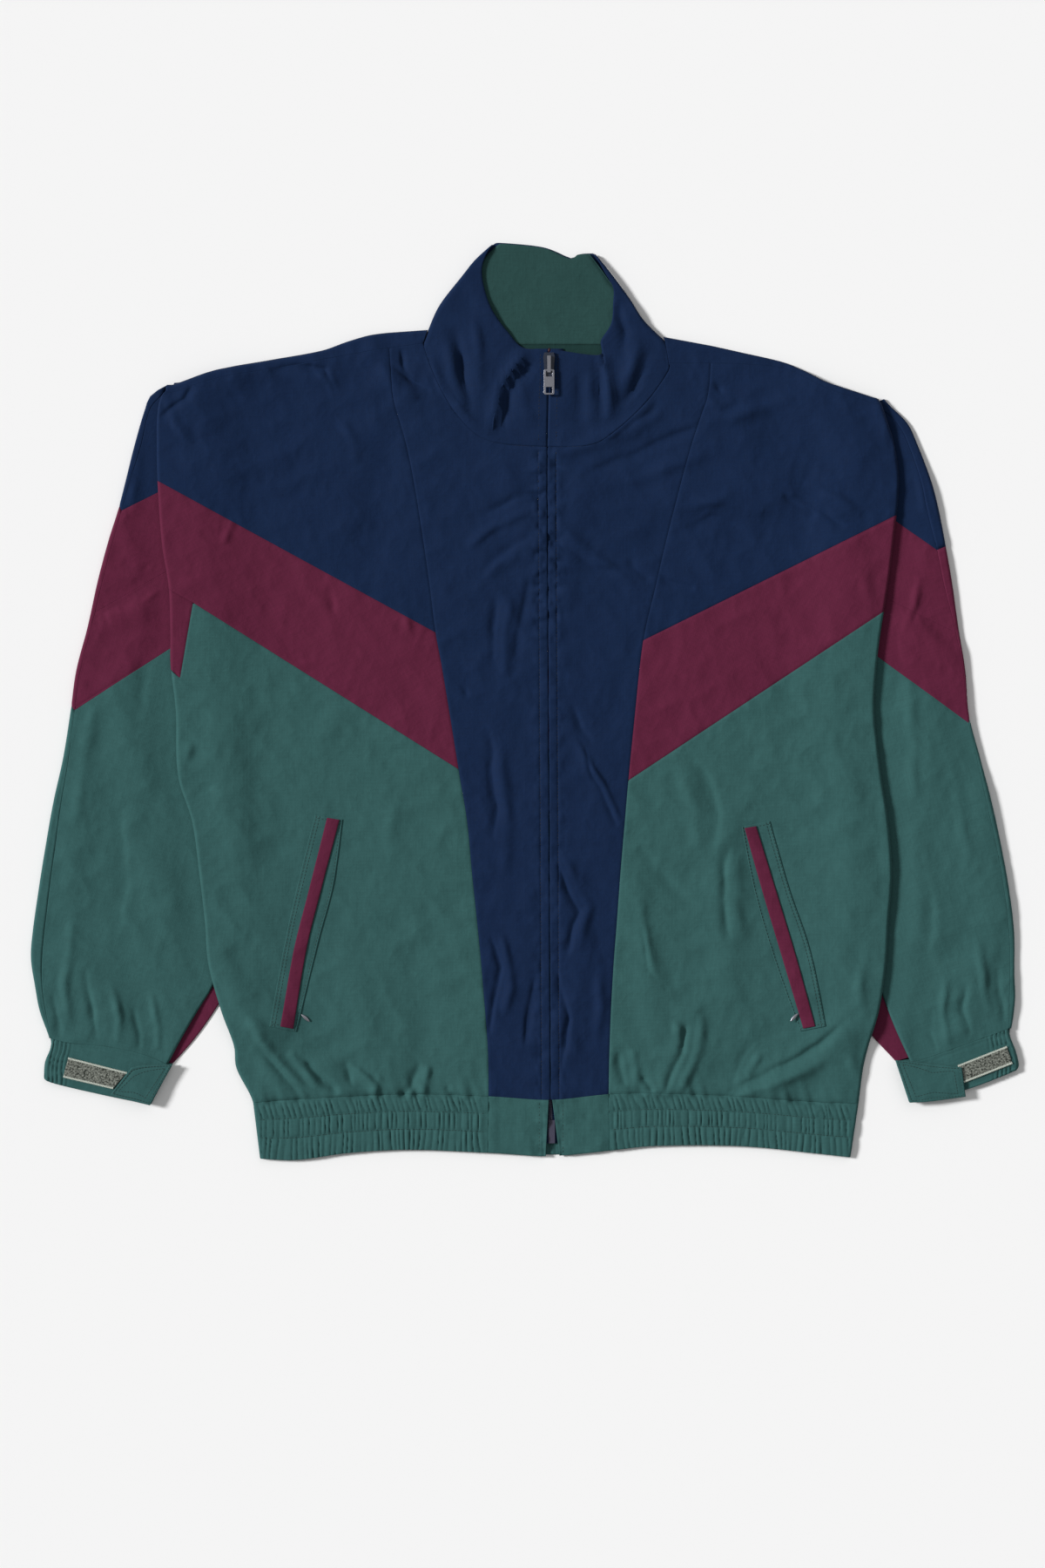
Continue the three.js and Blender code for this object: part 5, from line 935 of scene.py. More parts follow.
def threadMaterial(name, hexValue):
    # the colour darkened by a quarter between the bands of its twist
    material, tree = newMaterial(name)
    place = addNode(tree, "ShaderNodeTexCoord", output="Object")
    settings = {"Scale": bandScale(thread["twistPitch"]), "bands_direction": "DIAGONAL"}
    twist = addNode(tree, "ShaderNodeTexWave", settings, {"Vector": place}, 1)
    settings = {"Strength": 0.4, "Distance": thread["twistHeight"] * mm}
    bump = addNode(tree, "ShaderNodeBump", settings, {"Height": twist})
    settings = {"data_type": "RGBA", "blend_type": "MULTIPLY", 0: 0.25, 6: linear(hexValue)}
    shade = addNode(tree, "ShaderNodeMix", settings, {7: twist}, 2)
    addShader(tree, {"Specular IOR Level": 0.35, "Roughness": thread["roughness"]},
              {"Base Color": shade, "Normal": bump})
    return material


# Nickel-plated zinc, die cast: a grey metal, softly uneven, with fine rubbed scratches.
# The slider's plates, below its bridge, are dark in the colour of the cloth and not metallic: painted shade
# where they sit between the zip's lips.
castMetal = {
    "colour": "#9a9ba3",
    "paintedShadeColour": "#1d2434",
    "roughness": 0.34,
    "grain": 0.8,
    "grainHeight": 0.08,
    "scratch": 0.25,
    "scratchLength": 6,
    "paintedShadeTop": 9.0,
}


def castMetalMaterial(name, paintedShadeTop=0):
    # bare metal above a level, and below it a dark colour, not metallic, as painted shade; scratches vary its
    # roughness and grain its height
    material, tree = newMaterial(name)
    place = addNode(tree, "ShaderNodeTexCoord", output="Object")
    settings = {"Scale": 1 / (castMetal["grain"] * mm), "Detail": 3.0}
    grain = addNode(tree, "ShaderNodeTexNoise", settings, {"Vector": place})
    acrossScratch, alongScratch = 1 / (castMetal["scratch"] * mm), 1 / (castMetal["scratchLength"] * mm)
    settings = {"Scale": (acrossScratch, alongScratch, acrossScratch)}
    stretched = addNode(tree, "ShaderNodeMapping", settings, {"Vector": place})
    scratch = addNode(tree, "ShaderNodeTexNoise", {"Scale": 1.0, "Detail": 2.0}, {"Vector": stretched})
    settings = {"To Min": castMetal["roughness"] - 0.1, "To Max": castMetal["roughness"] + 0.16}
    rough = addNode(tree, "ShaderNodeMapRange", settings, {"Value": scratch})
    settings = {"Strength": 0.3, "Distance": castMetal["grainHeight"] * mm}
    bump = addNode(tree, "ShaderNodeBump", settings, {"Height": grain})
    height = addNode(tree, "ShaderNodeSeparateXYZ", None, {"Vector": place}, 2)
    unshaded = addNode(tree, "ShaderNodeMath", {"operation": "GREATER_THAN", 1: paintedShadeTop * mm}, {0: height})
    settings = {"data_type": "RGBA", 6: linear(castMetal["paintedShadeColour"]), 7: linear(castMetal["colour"])}
    colour = addNode(tree, "ShaderNodeMix", settings, {0: unshaded}, 2)
    addShader(tree, None, {"Base Color": colour, "Metallic": unshaded, "Roughness": rough, "Normal": bump})
    return material


# Acetal, injection moulded: an even satin plastic with a faint orange-peel face
acetal = {"plum": "#3c3a4c", "peelSize": 0.9, "peelHeight": 0.06, "smoothest": 0.36, "roughest": 0.5}


def acetalMaterial(name, hexValue):
    # one noise gives both the height of the face and its roughness
    material, tree = newMaterial(name)
    place = addNode(tree, "ShaderNodeTexCoord", output="Object")
    settings = {"Scale": 1 / (acetal["peelSize"] * mm), "Detail": 2.0}
    peel = addNode(tree, "ShaderNodeTexNoise", settings, {"Vector": place})
    settings = {"Strength": 0.25, "Distance": acetal["peelHeight"] * mm}
    bump = addNode(tree, "ShaderNodeBump", settings, {"Height": peel})
    settings = {"To Min": acetal["smoothest"], "To Max": acetal["roughest"]}
    rough = addNode(tree, "ShaderNodeMapRange", settings, {"Value": peel})
    addShader(tree, {"Base Color": linear(hexValue), "IOR": 1.48}, {"Roughness": rough, "Normal": bump})
    return material


navy = (poplinMaterial("poplinNavy", poplin["navy"]), "navy_cloth")
maroon = (poplinMaterial("poplinMaroon", poplin["maroon"]), "maroon_cloth")
green = (poplinMaterial("poplinGreen", poplin["green"]), "green_cloth")
greenInside = (poplinMaterial("poplinGreenInside", poplin["greenInside"]), "green_inside")
greenPaintedShade = (poplinMaterial("poplinGreenPaintedShade", poplin["greenPaintedShade"]), "green_inside")
hooks = (hookTapeMaterial("nylonHookTape"), "hook_tape")
navyThread = (threadMaterial("threadNavy", thread["navy"]), "navy_cloth")
maroonThread = (threadMaterial("threadMaroon", thread["maroon"]), "maroon_cloth")
greenThread = (threadMaterial("threadGreen", thread["green"]), "green_cloth")
paleThread = (threadMaterial("threadPale", thread["pale"]), "hook_tape")
sliderMetal = castMetalMaterial("castMetalPaintedShade", castMetal["paintedShadeTop"])
metal = castMetalMaterial("nickelPlatedZinc")
boxPlastic = acetalMaterial("acetalPlum", acetal["plum"])
print("materials made")


# Fronts of the body
def onBack(x, y):
    # just over the back panels
    return backLevel(x, y) + cloth["wall"] / 2 + 0.6


def onFloorCloth(x, y):
    # just over one layer of cloth on the floor
    return np.full(np.shape(x), cloth["wall"] + 0.3)


def onFloor(x, y):
    # the middle of a wall that lies on the floor
    return np.full(np.shape(x), floorLevel)


def hemJoin(x):
    # where the hem band joins the body
    return column(hemBand, 1, x)


def hemLow(x):
    # the lower edge of the hem band
    return column(hemBand, 2, x)


def straight(start, end):
    # an outline of one step
    return np.array([start, end])


def ordered(side, top, bottom, outer, inner):
    # outlines of a left piece, or those of a right piece turned the same way
    return [top, bottom, outer, inner] if side == "left" else [top[::-1], bottom[::-1], inner, outer]


fronts = {
    "left": {
        "shoulder": leftShoulder, "end": (-313.2, 262.2), "seamStart": 304.2, "neck": -88.0,
        "top": (190.5, 60), "low": (97, -57.8), "sideStart": 27, "joinEdge": -234.5, "joinSeam": -31.5,
        "stripEnd": -303, "stripTop": [(-83.8, 320.8)], "lipShift": -0.25, "lipSeed": 21,
        "kink": [(-297, 20.5), (-285.8, 85.5)],
    },
    "right": {
        "shoulder": rightShoulder, "end": (305.6, 257.6), "seamStart": 291.8, "neck": 124.0,
        "top": (161, 53.2), "low": (78, -67.5), "sideStart": 78, "joinEdge": 287.5, "joinSeam": 72,
        "stripEnd": 303, "stripTop": [(119.2, 314.8), (120.5, 311)], "lipShift": 0.25, "lipSeed": 22,
        "kink": [],
    },
}
lipLines = [6.2, 6.8, 7.3, 7.8, 8.3, 9.0]
neckLines = {}
for side, front in fronts.items():
    edge, seam = side + "Edge", side + "Seam"
    rolled = {side: "roll"}
    names = side.capitalize()
    seamX = float(bodyLine(seam, front["seamStart"]))
    shoulder = widthLine(front["shoulder"], 2, front["end"][0], seamX)
    outer = levelLine(edge, front["end"][1], front["top"][0])
    inner = levelLine(seam, front["seamStart"], front["top"][1])
    shoulder[0], inner[0] = outer[0], shoulder[-1]
    upper = straight(outer[-1], inner[-1])
    addPanel("frontYoke" + names, "front_yoke_" + side, ordered(side, shoulder, upper, outer, inner),
             frontLevel, navy, rolled, onBack, grain=0.05)

    bandOuter = levelLine(edge, front["top"][0], front["low"][0])
    bandInner = levelLine(seam, front["top"][1], front["low"][1])
    lower = chain(bandOuter[-1], *front["kink"][1:], bandInner[-1])
    addPanel("frontBand" + names, "front_band_" + side, ordered(side, upper, lower, bandOuter, bandInner),
             frontLevel, maroon, rolled, onBack, grain=0.5 if side == "left" else -0.5)

    lowOuter = levelLine(edge, front["sideStart"], float(hemJoin(front["joinEdge"])))
    lowOuter[-1] = front["joinEdge"], hemJoin(front["joinEdge"])
    lowInner = levelLine(seam, front["low"][1], float(hemJoin(front["joinSeam"])))
    lowInner[-1] = front["joinSeam"], hemJoin(front["joinSeam"])
    join = widthLine(hemBand, 1, front["joinEdge"], front["joinSeam"])
    lowTop = chain(lowOuter[0], *front["kink"], lowInner[0])
    addPanel("frontLower" + names, "front_lower_" + side,
             ordered(side, lowTop, join, lowOuter, lowInner), frontLevel, green, rolled, onBack, gather=1.04)

    # zip panel, from the neck to the hem, with its lip a little uneven
    panelOuter = levelLine(seam, front["seamStart"], float(hemJoin(front["joinSeam"])))
    panelOuter[0], panelOuter[-1] = shoulder[-1], lowInner[-1]
    zipY = np.linspace(219.8, float(hemJoin(22)), 240)
    uneven = 0.3 * softNoise(zipY, zipY * 0, 6, front["lipSeed"])
    zipLine = np.column_stack([bodyLine("zip", zipY) + front["lipShift"] + uneven, zipY])
    neckCorner = np.array([front["neck"], column(front["shoulder"], 2, front["neck"])])
    inNeck = neckSeam[(neckSeam[:, 0] < 0) if side == "left" else (neckSeam[:, 0] > 40)]
    inNeck = inNeck[inNeck[:, 1] < 309]
    neck = curve(np.vstack([neckCorner, inNeck if side == "left" else inNeck[::-1], zipLine[0]]))
    neckLines[side] = neck
    foot = widthLine(hemBand, 1, front["joinSeam"], zipLine[-1][0])
    foot[0], foot[-1] = panelOuter[-1], zipLine[-1]
    inward = "right" if side == "left" else "left"
    shoulderEnd = straight(panelOuter[0], neck[0])
    addPanel("frontPanel" + names, "front_panel_" + side,
             ordered(side, shoulderEnd, foot, panelOuter, chain(neck, zipLine)), frontLevel, navy,
             extra={inward: lipLines})

    # shoulder strip in front of the fold
    seamStrip = chain(shoulder, neckCorner)
    foldX = seamStrip[:, 0].copy()
    foldX[0] = front["stripEnd"]
    fold = chain(np.column_stack([foldX, column(front["shoulder"], 1, foldX)])[:-1], front["stripTop"][0])
    stripEnds = [straight(fold[0], seamStrip[0]), chain(*front["stripTop"], seamStrip[-1])]
    addPanel("shoulder" + names, "shoulder_" + side, ordered(side, fold, seamStrip, *stripEnds),
             frontLevel, navy, {"top": "roll", **rolled}, onBack)

sideOuter = levelLine("leftEdge", 97, 28)
sideTip, sideCorner = np.array(fronts["left"]["kink"])
addPanel("sidePanelLeft", "side_panel_left",
         [straight(sideOuter[0], sideCorner), straight(sideOuter[-1], sideTip), sideOuter,
          straight(sideCorner, sideTip)], frontLevel, maroon, {"left": "roll"}, onBack)
print("fronts made")


# Back of the body, plain where it lies on the floor
def backEdge(side, start, end):
    # the back's edge, 1 mm inside the front's
    shift = 1 if side == "left" else -1
    return levelLine(side + "Edge", start, end) + [shift, 0]


def sagging(left, right, drop):
    # a line between two points that sinks by the drop times sin(pi t)
    t = np.linspace(0, 1, 50)[:, None]
    return left + (right - left) * t - np.array([0, drop]) * np.sin(np.pi * t)


collarSeamBack = curve([(-86.2, 311.5), (-40, 309.4), (10, 307.9), (60, 307.9), (100, 309), (119, 312)])
yokeLeft, yokeRight = backEdge("left", 275, 190), backEdge("right", 261, 161)
shoulderTop = chain(
    yokeLeft[0], widthLine(leftShoulder, 1, yokeLeft[0][0] + 16, -100) - [0, 3], collarSeamBack,
    widthLine(rightShoulder, 1, 135, yokeRight[0][0] - 16) - [0, 3], yokeRight[0])
free = {"left": "plain", "right": "plain"}
bandUp = sagging(yokeLeft[-1], yokeRight[-1], 120)
addPanel("backYoke", "back_yoke", [shoulderTop, bandUp, yokeLeft, yokeRight], backLevel, navy,
         {"top": "plain", **free}, cell=cloth["hiddenCell"])
bandLeft, bandRight = backEdge("left", 190, 97), backEdge("right", 161, 78)
bandDown = sagging(bandLeft[-1], bandRight[-1], 130)
addPanel("backBand", "back_band", [bandUp, bandDown, bandLeft, bandRight], backLevel, maroon, free,
         cell=cloth["hiddenCell"])
lowLeft = backEdge("left", 97, float(hemJoin(-234.5)))
lowRight = backEdge("right", 78, float(hemJoin(287.5)))
backJoin = sagging(lowLeft[-1], lowRight[-1], -4)
addPanel("backLower", "back_lower", [bandDown, backJoin, lowLeft, lowRight], backLevel, green, free,
         cell=cloth["hiddenCell"])
footX = np.linspace(-227, 279, 60)
backFoot = np.column_stack([footX, hemLow(footX) + 1])
backFoot[0, 1] = backFoot[-1, 1] = -391.5


def hemBackLevel(x, y):
    # gathered too: soft ribs, 1 + sin of the place across, never below the floor
    ribs = 1 + np.sin(x * 1.15 + softNoise(x, y, 9, 5))
    return backLevel(x, y) + 0.25 * ribs * smooth(-340, -348, y)


hemBackEnds = [straight(backJoin[0], backFoot[0]), straight(backJoin[-1], backFoot[-1])]
addPanel("hemBack", "hem_back", [backJoin, backFoot, *hemBackEnds], hemBackLevel, green,
         {"bottom": "plain", **free}, cell=(1.4, 5), gather=1.3)
print("back made")


# Sleeves: fronts, the half that turns round to the back, and the underarm panel
def sleeveLine(table, name, start, end):
    # a line of a sleeve between two levels
    y = np.linspace(start, end, 90)
    return np.column_stack([column(table, sleeveColumns.index(name), y), y])


sleeves = {
    "left": {
        "table": leftSleeveSections,
        "cuffSeam": [(-408, -289.5), (-393, -293.4), (-357.8, -297), (-327, -304), (-308.2, -312.2)],
        "backSeam": [(-409.4, -289.4), (-304, -311.4)],
        "rise": 8,
        "parts": {"top": (navy, 264.8, 262, 165, 190), "band_upper": (maroon, 165, 190, 77.5, 122),
                  "band_lower": (maroon, 77.5, 122, -7, 58), "lower": (green, -7, 58, -289.5, -312.5)},
    },
    "right": {
        "table": rightSleeveSections,
        "cuffSeam": [(416.4, -281), (409.5, -284), (374.2, -296.6), (343.5, -307.6), (332.2, -309.8)],
        "backSeam": [(418.3, -280.8), (319.5, -309.4)],
        "rise": 3,
        "parts": {"top": (navy, 258, 252, 131, 168), "band_upper": (maroon, 131, 168, 60, 98),
                  "band_lower": (maroon, 60, 98, -18, 52), "lower": (green, -18, 52, -281, -309.8)},
    },
}
sleeveBackReach = 20
partNames = {
    "top": "Top",
    "band_upper": "BandUpper",
    "band_lower": "BandLower",
    "lower": "Lower",
    "band": "Band",
}


def unit(vectors):
    # vectors divided by their lengths
    return vectors / (np.linalg.norm(vectors, axis=-1, keepdims=True) + 1e-9)


for side, sleeve in sleeves.items():
    table, names = sleeve["table"], side.capitalize()
    inward = "right" if side == "left" else "left"
    sign = 1 if side == "left" else -1
    cuffSeam = curve(sleeve["cuffSeam"])
    for part, (look, seamFrom, innerFrom, seamTo, innerTo) in sleeve["parts"].items():
        outer = sleeveLine(table, "seam", seamFrom, seamTo)
        inner = sleeveLine(table, "inner", innerFrom, innerTo)
        low = straight(outer[-1], inner[-1])
        if part == "lower":
            low = cuffSeam
            outer[-1], inner[-1] = low[0], low[-1]
        addPanel("sleeve" + partNames[part] + names, "sleeve_" + part + "_" + side,
                 ordered(side, straight(outer[0], inner[0]), low, outer, inner), sleeveLevel, look,
                 {inward: "roll"}, onFloorCloth, radius=1.2,
                 grain=-0.25 * sign)

    # the back halves: from the seam round the outer fold and in under the body
    halves = {"top": ("top", "top"), "band": ("band_upper", "band_lower"), "lower": ("lower", "lower")}
    backInner = []
    for half, (first, last) in halves.items():
        look, seamFrom, innerFrom = sleeve["parts"][first][:3]
        seamTo, innerTo = sleeve["parts"][last][3:]
        count = max(12, int((seamFrom - seamTo) / 3.5))
        t = np.linspace(0, 1, count)
        middle = sleeve["parts"][first][3:] if half == "band" else None
        knots = [0, 0.5, 1] if middle else [0, 1]
        seamY = np.interp(t, knots, [seamFrom, middle[0], seamTo] if middle else [seamFrom, seamTo])
        innerY = np.interp(t, knots, [innerFrom, middle[1], innerTo] if middle else [innerFrom, innerTo])
        rise = np.full(count, 3.0)
        reach = np.full(count, float(sleeveBackReach))
        if half == "top":
            rise = 3 + (sleeve["rise"] - 3) * (1 - smooth(0, 0.16, t))
            reach = 2 + (sleeveBackReach - 2) * smooth(0, 0.16, t)
        if half == "lower":
            rise = 3 * (1 - smooth(0.9, 1, t))
        seamPoint = np.column_stack([column(table, 2, seamY), seamY])
        foldY = seamY + rise
        foldPoint = np.column_stack([column(table, 1, foldY) + sign * cloth["wall"] / 2, foldY])
        innerPoint = np.column_stack([column(table, 3, innerY) - sign * reach, innerY])
        if half == "lower":
            a, b = np.array(sleeve["backSeam"])
            share = (innerPoint[-1, 0] - a[0]) / (b[0] - a[0])
            innerPoint[-1] = a + (b - a) * share
            foldPoint[-1, 0] = a[0]
        backInner.append(innerPoint)
        toFold, toInner = foldPoint - seamPoint, innerPoint - foldPoint
        strip, backWidth = np.linalg.norm(toFold, axis=1), np.linalg.norm(toInner, axis=1)
        toFold, toInner = unit(toFold), unit(toInner)
        high = sleeveLevel(seamPoint[:, 0], seamPoint[:, 1])
        rollHeight = (high - floorLevel) / 2
        roll = np.minimum(rollHeight, np.maximum(strip, 0.5) * 0.55)
        columns = []
        for share in (0, 0.3, 0.6, 0.85):
            place = seamPoint + toFold * (share * np.maximum(strip - roll, 0))[:, None]
            level = sleeveLevel(place[:, 0], place[:, 1]) * (1 - share) + high * share
            columns.append(np.column_stack([place, level]))
        for angle in np.radians([90, 70, 50, 30, 10, -10, -30, -50, -70, -90]):
            away = (toFold if angle > 0 else -toInner) * (-roll * (1 - math.cos(angle)))[:, None]
            level = floorLevel + rollHeight * (1 + math.sin(angle))
            columns.append(np.column_stack([foldPoint + away, level]))
        for share in (0.2, 0.45, 0.7, 1):
            place = foldPoint + toInner * (roll + (backWidth - roll) * share)[:, None]
            columns.append(np.column_stack([place, np.full(count, floorLevel)]))
        points = np.stack(columns, axis=1)
        steps = np.linalg.norm(np.diff(points[count // 2], axis=0), axis=1)
        stretch = np.cumsum(np.concatenate([[0], steps]))
        grid = np.dstack(np.meshgrid(stretch, points[:, 0, 1]))
        wall = np.full(points.shape[:2], cloth["wall"] / 2)
        addSheet("sleeveBack" + partNames[half] + names, "sleeve_back_" + half + "_" + side, points,
                 shellNormals(points, {}), wall, grid, look)
    outer = np.vstack(backInner) + [0.3 * sign, 0]
    outer = outer[np.argsort(-outer[:, 1], kind="stable")]
    innerLine = np.column_stack([column(table, 4, outer[:, 1]), outer[:, 1]])
    innerLine[-1] = sleeve["backSeam"][1]
    addPanel("underarm" + names, "underarm_" + side,
             ordered(side, straight(outer[0], innerLine[0]), straight(outer[-1], innerLine[-1]),
                     outer, innerLine),
             onFloor, maroon, {"top": "plain", **free}, cell=4)
print("sleeves made")


# Cuffs: gathered at the outer end, with a hook patch and a closing strap
cuffs = {
    "left": {
        "low": [(-414.6, -324), (-405.8, -328.5), (-359.2, -339.4), (-323.5, -346.4)],
        "outer": [(-408, -289.5), (-409.5, -299), (-413.8, -310), (-414.6, -324)],
        "seamEnd": (-303.5, -311.6),
        "patch": [(-393.3, -306), (-342.5, -318.8), (-398, -322.9), (-355, -333)],
        "strapTop": [(-339, -314.5), (-328, -312.4), (-303.5, -312)],
        "strapLow": [(-357, -337.8), (-345.8, -341.4), (-323, -347)],
    },
    "right": {
        "low": [(423.2, -316.6), (412.5, -321.8), (376.5, -334.9), (332, -344.4)],
        "outer": [(416.4, -281), (418.8, -290), (422.8, -300), (425.6, -312), (423.2, -316.6)],
        "seamEnd": (330.5, -310.2),
        "patch": [(414.8, -296.2), (372.4, -312.8), (419.7, -311.2), (376.5, -328.1)],
        "strapTop": [(376, -314.4), (345, -310.6), (318.6, -308)],
        "strapLow": [(379.3, -339.6), (350, -343.6), (331, -344.8)],
    },
}
cuffGather = {"count": 5, "length": 19, "depth": 0.75, "stitchInset": 3.2}


def cuffBase(x, y):
    # a soft wave over the cuff's back layer
    level = floorLevel + cloth["wall"] + 1.2 + cloth["cuffWall"] / 2
    return level + 0.3 * np.sin(x / 9 + y / 14) + 0.25 * softNoise(x, y, 12, 7)


allFree = dict.fromkeys(["top", "bottom", "left", "right"], "plain")
patchLift = cloth["cuffWall"] / 2 + 0.85
strapLift = patchLift + cloth["thinWall"] / 2 + cloth["wall"] / 2 + 0.6
for side, cuff in cuffs.items():
    names, sign = side.capitalize(), 1 if side == "left" else -1
    seamLine = chain(curve(sleeves[side]["cuffSeam"]), cuff["seamEnd"])
    low, outer = curve(cuff["low"]), curve(cuff["outer"])
    inner = straight(seamLine[-1], low[-1])
    startX = seamLine[0, 0]
    strapSide = "right" if side == "left" else "left"

    def cuffLevel(x, y):
        # a few gathers at the outer end, and a dip along the stitching at both long edges
        away = np.abs(x - startX + sign * 5 * smooth(-285, -318, y))
        fade = 1 - smooth(cuffGather["length"] * 0.7, cuffGather["length"] + 3, away)
        turns = away * cuffGather["count"] / cuffGather["length"]
        wave = np.sin(2 * np.pi * turns + 1.2 * softNoise(x, y, 8, 9))
        insets = [np.abs(nearLine(line, x, y)[0]) - cuffGather["stitchInset"] for line in (seamLine, low)]
        dips = sum(np.exp(-((inset / 0.9) ** 2)) for inset in insets)
        return cuffBase(x, y) + cuffGather["depth"] * fade * wave - 0.3 * dips

    addPanel("cuffFront" + names, "cuff_front_" + side, ordered(side, seamLine, low, outer, inner),
             cuffLevel, green, {side: "roll", strapSide: "plain", "bottom": "plain"}, onFloorCloth,
             wall=cloth["cuffWall"], radius=1.6, cell=1.3, grain=-0.25 * sign,
             gather=1.08)
    a, b = np.array(sleeves[side]["backSeam"])
    backOuter = curve([a, *[(p[0] + sign, p[1]) for p in cuff["outer"][1:]]])
    backLow = low + [sign, 0]
    backLow[0] = backOuter[-1]
    addPanel("cuffBack" + names, "cuff_back_" + side,
             ordered(side, straight(a, b), backLow, backOuter, straight(b, backLow[-1])), onFloor, green,
             {"bottom": "plain", **free}, cell=4)
    patch = np.array(cuff["patch"], float)

    def patchLevel(x, y):
        # on the cuff, clear of its gathers
        return cuffBase(x, y) + patchLift + 0.15

    addPanel("cuffPatch" + names, "cuff_patch_" + side,
             ordered(side, patch[:2], patch[2:], patch[[0, 2]], patch[[1, 3]]), patchLevel, hooks,
             allFree, wall=cloth["thinWall"], cell=1.2, grain=-0.25 * sign)
    strapTop, strapLow = curve(cuff["strapTop"]), curve(cuff["strapLow"])
    strapEnds = [straight(strapTop[0], strapLow[0]), straight(strapTop[-1], strapLow[-1])]
    strapOutline = chain(strapTop, strapEnds[1], strapLow[::-1], strapEnds[0][::-1])

    def strapLevel(x, y):
        # on the patch, with a dip along the stitching round its edge
        inset = np.abs(nearLine(strapOutline, x, y)[0])
        dip = 0.3 * np.exp(-(((inset - 2.6) / 0.8) ** 2))
        return cuffBase(x, y) + strapLift - dip + 0.25 * softNoise(x, y, 9, 14)

    addPanel("cuffStrap" + names, "cuff_strap_" + side, ordered(side, strapTop, strapLow, *strapEnds),
             strapLevel, green, allFree, cell=1.1, grain=-0.25 * sign)
    cuff.update(patchLevel=patchLevel, strapLevel=strapLevel, strapOutline=strapOutline)
print("cuffs made")


# Hem band: gathered on elastic in three channels, with plain tabs beside the zip. Its rows are the
# shares of its width at which the channels are stitched.
hem = {
    "waves": 40,
    "depth": 1.8,
    "puff": 0.5,
    "rows": (0.31, 0.63),
    "left": (-231, -34),
    "right": (73, 282),
}
tabStitchX = {"left": 12.2, "right": 32.6}


def hemShare(x, y):
    # share of the band's width passed, from where it joins the body
    join = hemJoin(x)
    return np.clip((join - y) / (join - hemLow(x)), 0, 1)


def hemGatherLevel(x, y):
    # round folds with sharp valleys, |sin|^0.55, not the same in each channel, slanted in the first
    start, end = hem["left"] if np.mean(x) < 0 else hem["right"]
    share = hemShare(x, y)
    first, second = hem["rows"]
    channel = (share > first).astype(float) + (share > second)
    slant = 5.5 * np.maximum(first - share, 0) + 2 * softNoise(x, y, 25, 25) * np.maximum(share - second, 0)
    t = (x + 3 * slant - start) / (end - start)
    drift = 1.6 * softNoise(x, channel * 40, 9, 15) + 1.1 * softNoise(x, channel * 50, 4, 16)
    depth = hem["depth"] * (0.65 + 0.5 * softNoise(x, channel * 30 + y * 0.3, 5, 17))
    folds = np.abs(np.sin(np.pi * hem["waves"] * t + drift)) ** 0.55 - 0.65
    ends = smooth(0, 0.02, (x - start) / (end - start)) * smooth(0, 0.02, (end - x) / (end - start))
    pinch = sum(np.exp(-(((share - row) / 0.03) ** 2)) for row in hem["rows"])
    puff = hem["puff"] * np.abs(np.sin(np.pi * share * 3))
    level = backLevel(x, y) + cloth["wall"] + cloth["airUnderFront"] - 0.3
    level = level + ends * depth * folds * (1 - 0.5 * pinch)
    joined = frontLevel(x, np.maximum(y, hemJoin(x))) - 0.1
    low = level + puff - 0.5 * pinch
    return low + (joined - low) * (1 - smooth(0, 0.12, share))


def hemTabLevel(x, y):
    # a groove along the stitching of each tab
    tabStitch = np.minimum(np.abs(x - tabStitchX["left"]), np.abs(x - tabStitchX["right"]))
    groove = 0.3 * np.exp(-((tabStitch / 0.9) ** 2))
    return frontLevel(x, y) + 0.2 - groove + 0.15 * softNoise(x, y, 10, 18)


# Places across of each half band: outer end and seam at the top, the same two at the lower edge,
# and the zip edge at the top and at the lower edge
hemEnds = {
    "left": (-234.5, -31.5, -228.5, -32.2, 20.4, 17.8),
    "right": (287.5, 72, 280.5, 72.8, 23.4, 29.6),
}
for side, (outX, seamX, outLow, seamLow, zipTop, zipLow) in hemEnds.items():
    names = side.capitalize()
    top, low = widthLine(hemBand, 1, outX, seamX), widthLine(hemBand, 2, outLow, seamLow)
    addPanel("hemGather" + names, "hem_gather_" + side,
             ordered(side, top, low, straight(top[0], low[0]), straight(top[-1], low[-1])),
             hemGatherLevel, green, {side: "roll", "bottom": "plain"}, onFloorCloth,
             wall=cloth["thinWall"], radius=1.6, cell=(0.85, 1.5), grain=1.5708,
             gather=1.25)
    tabTop, tabLow = widthLine(hemBand, 1, seamX, zipTop), widthLine(hemBand, 2, seamLow, zipLow)
    addPanel("hemTab" + names, "hem_tab_" + side,
             ordered(side, tabTop, tabLow, straight(tabTop[0], tabLow[0]), straight(tabTop[-1], tabLow[-1])),
             hemTabLevel, green, {"bottom": "plain"}, cell=1.3)
print("hem band made")

# Collar
leftNeck, rightNeck = neckLines["left"], chain(neckLines["right"][::-1], (120.5, 311))
zipTopY = 304.5
zipEdges = {"left": straight(leftNeck[-1], (20.2, zipTopY)), "right": straight(rightNeck[0], (20.9, zipTopY))}
mouthLeft, mouthRight = curve(collarMouthLeft), curve(collarMouthRight[::-1])
mouthLeft[-1], mouthRight[0] = zipEdges["left"][-1], zipEdges["right"][-1]
collarOuterLeft = curve(np.vstack([leftNeck[0], collarSideLeft[1:]]))
collarOuterRight = curve(np.vstack([rightNeck[-1], collarSideRight[1:]]))
mouthLeft[0], mouthRight[-1] = collarOuterLeft[-1], collarOuterRight[-1]
addPanel("collarLeft", "collar_left", [leftNeck, mouthLeft, collarOuterLeft, zipEdges["left"]],
         frontLevel, navy, {"left": "roll", "bottom": "plain"}, onFloorCloth, radius=2.0, cell=1.4,
         extra={"right": lipLines})
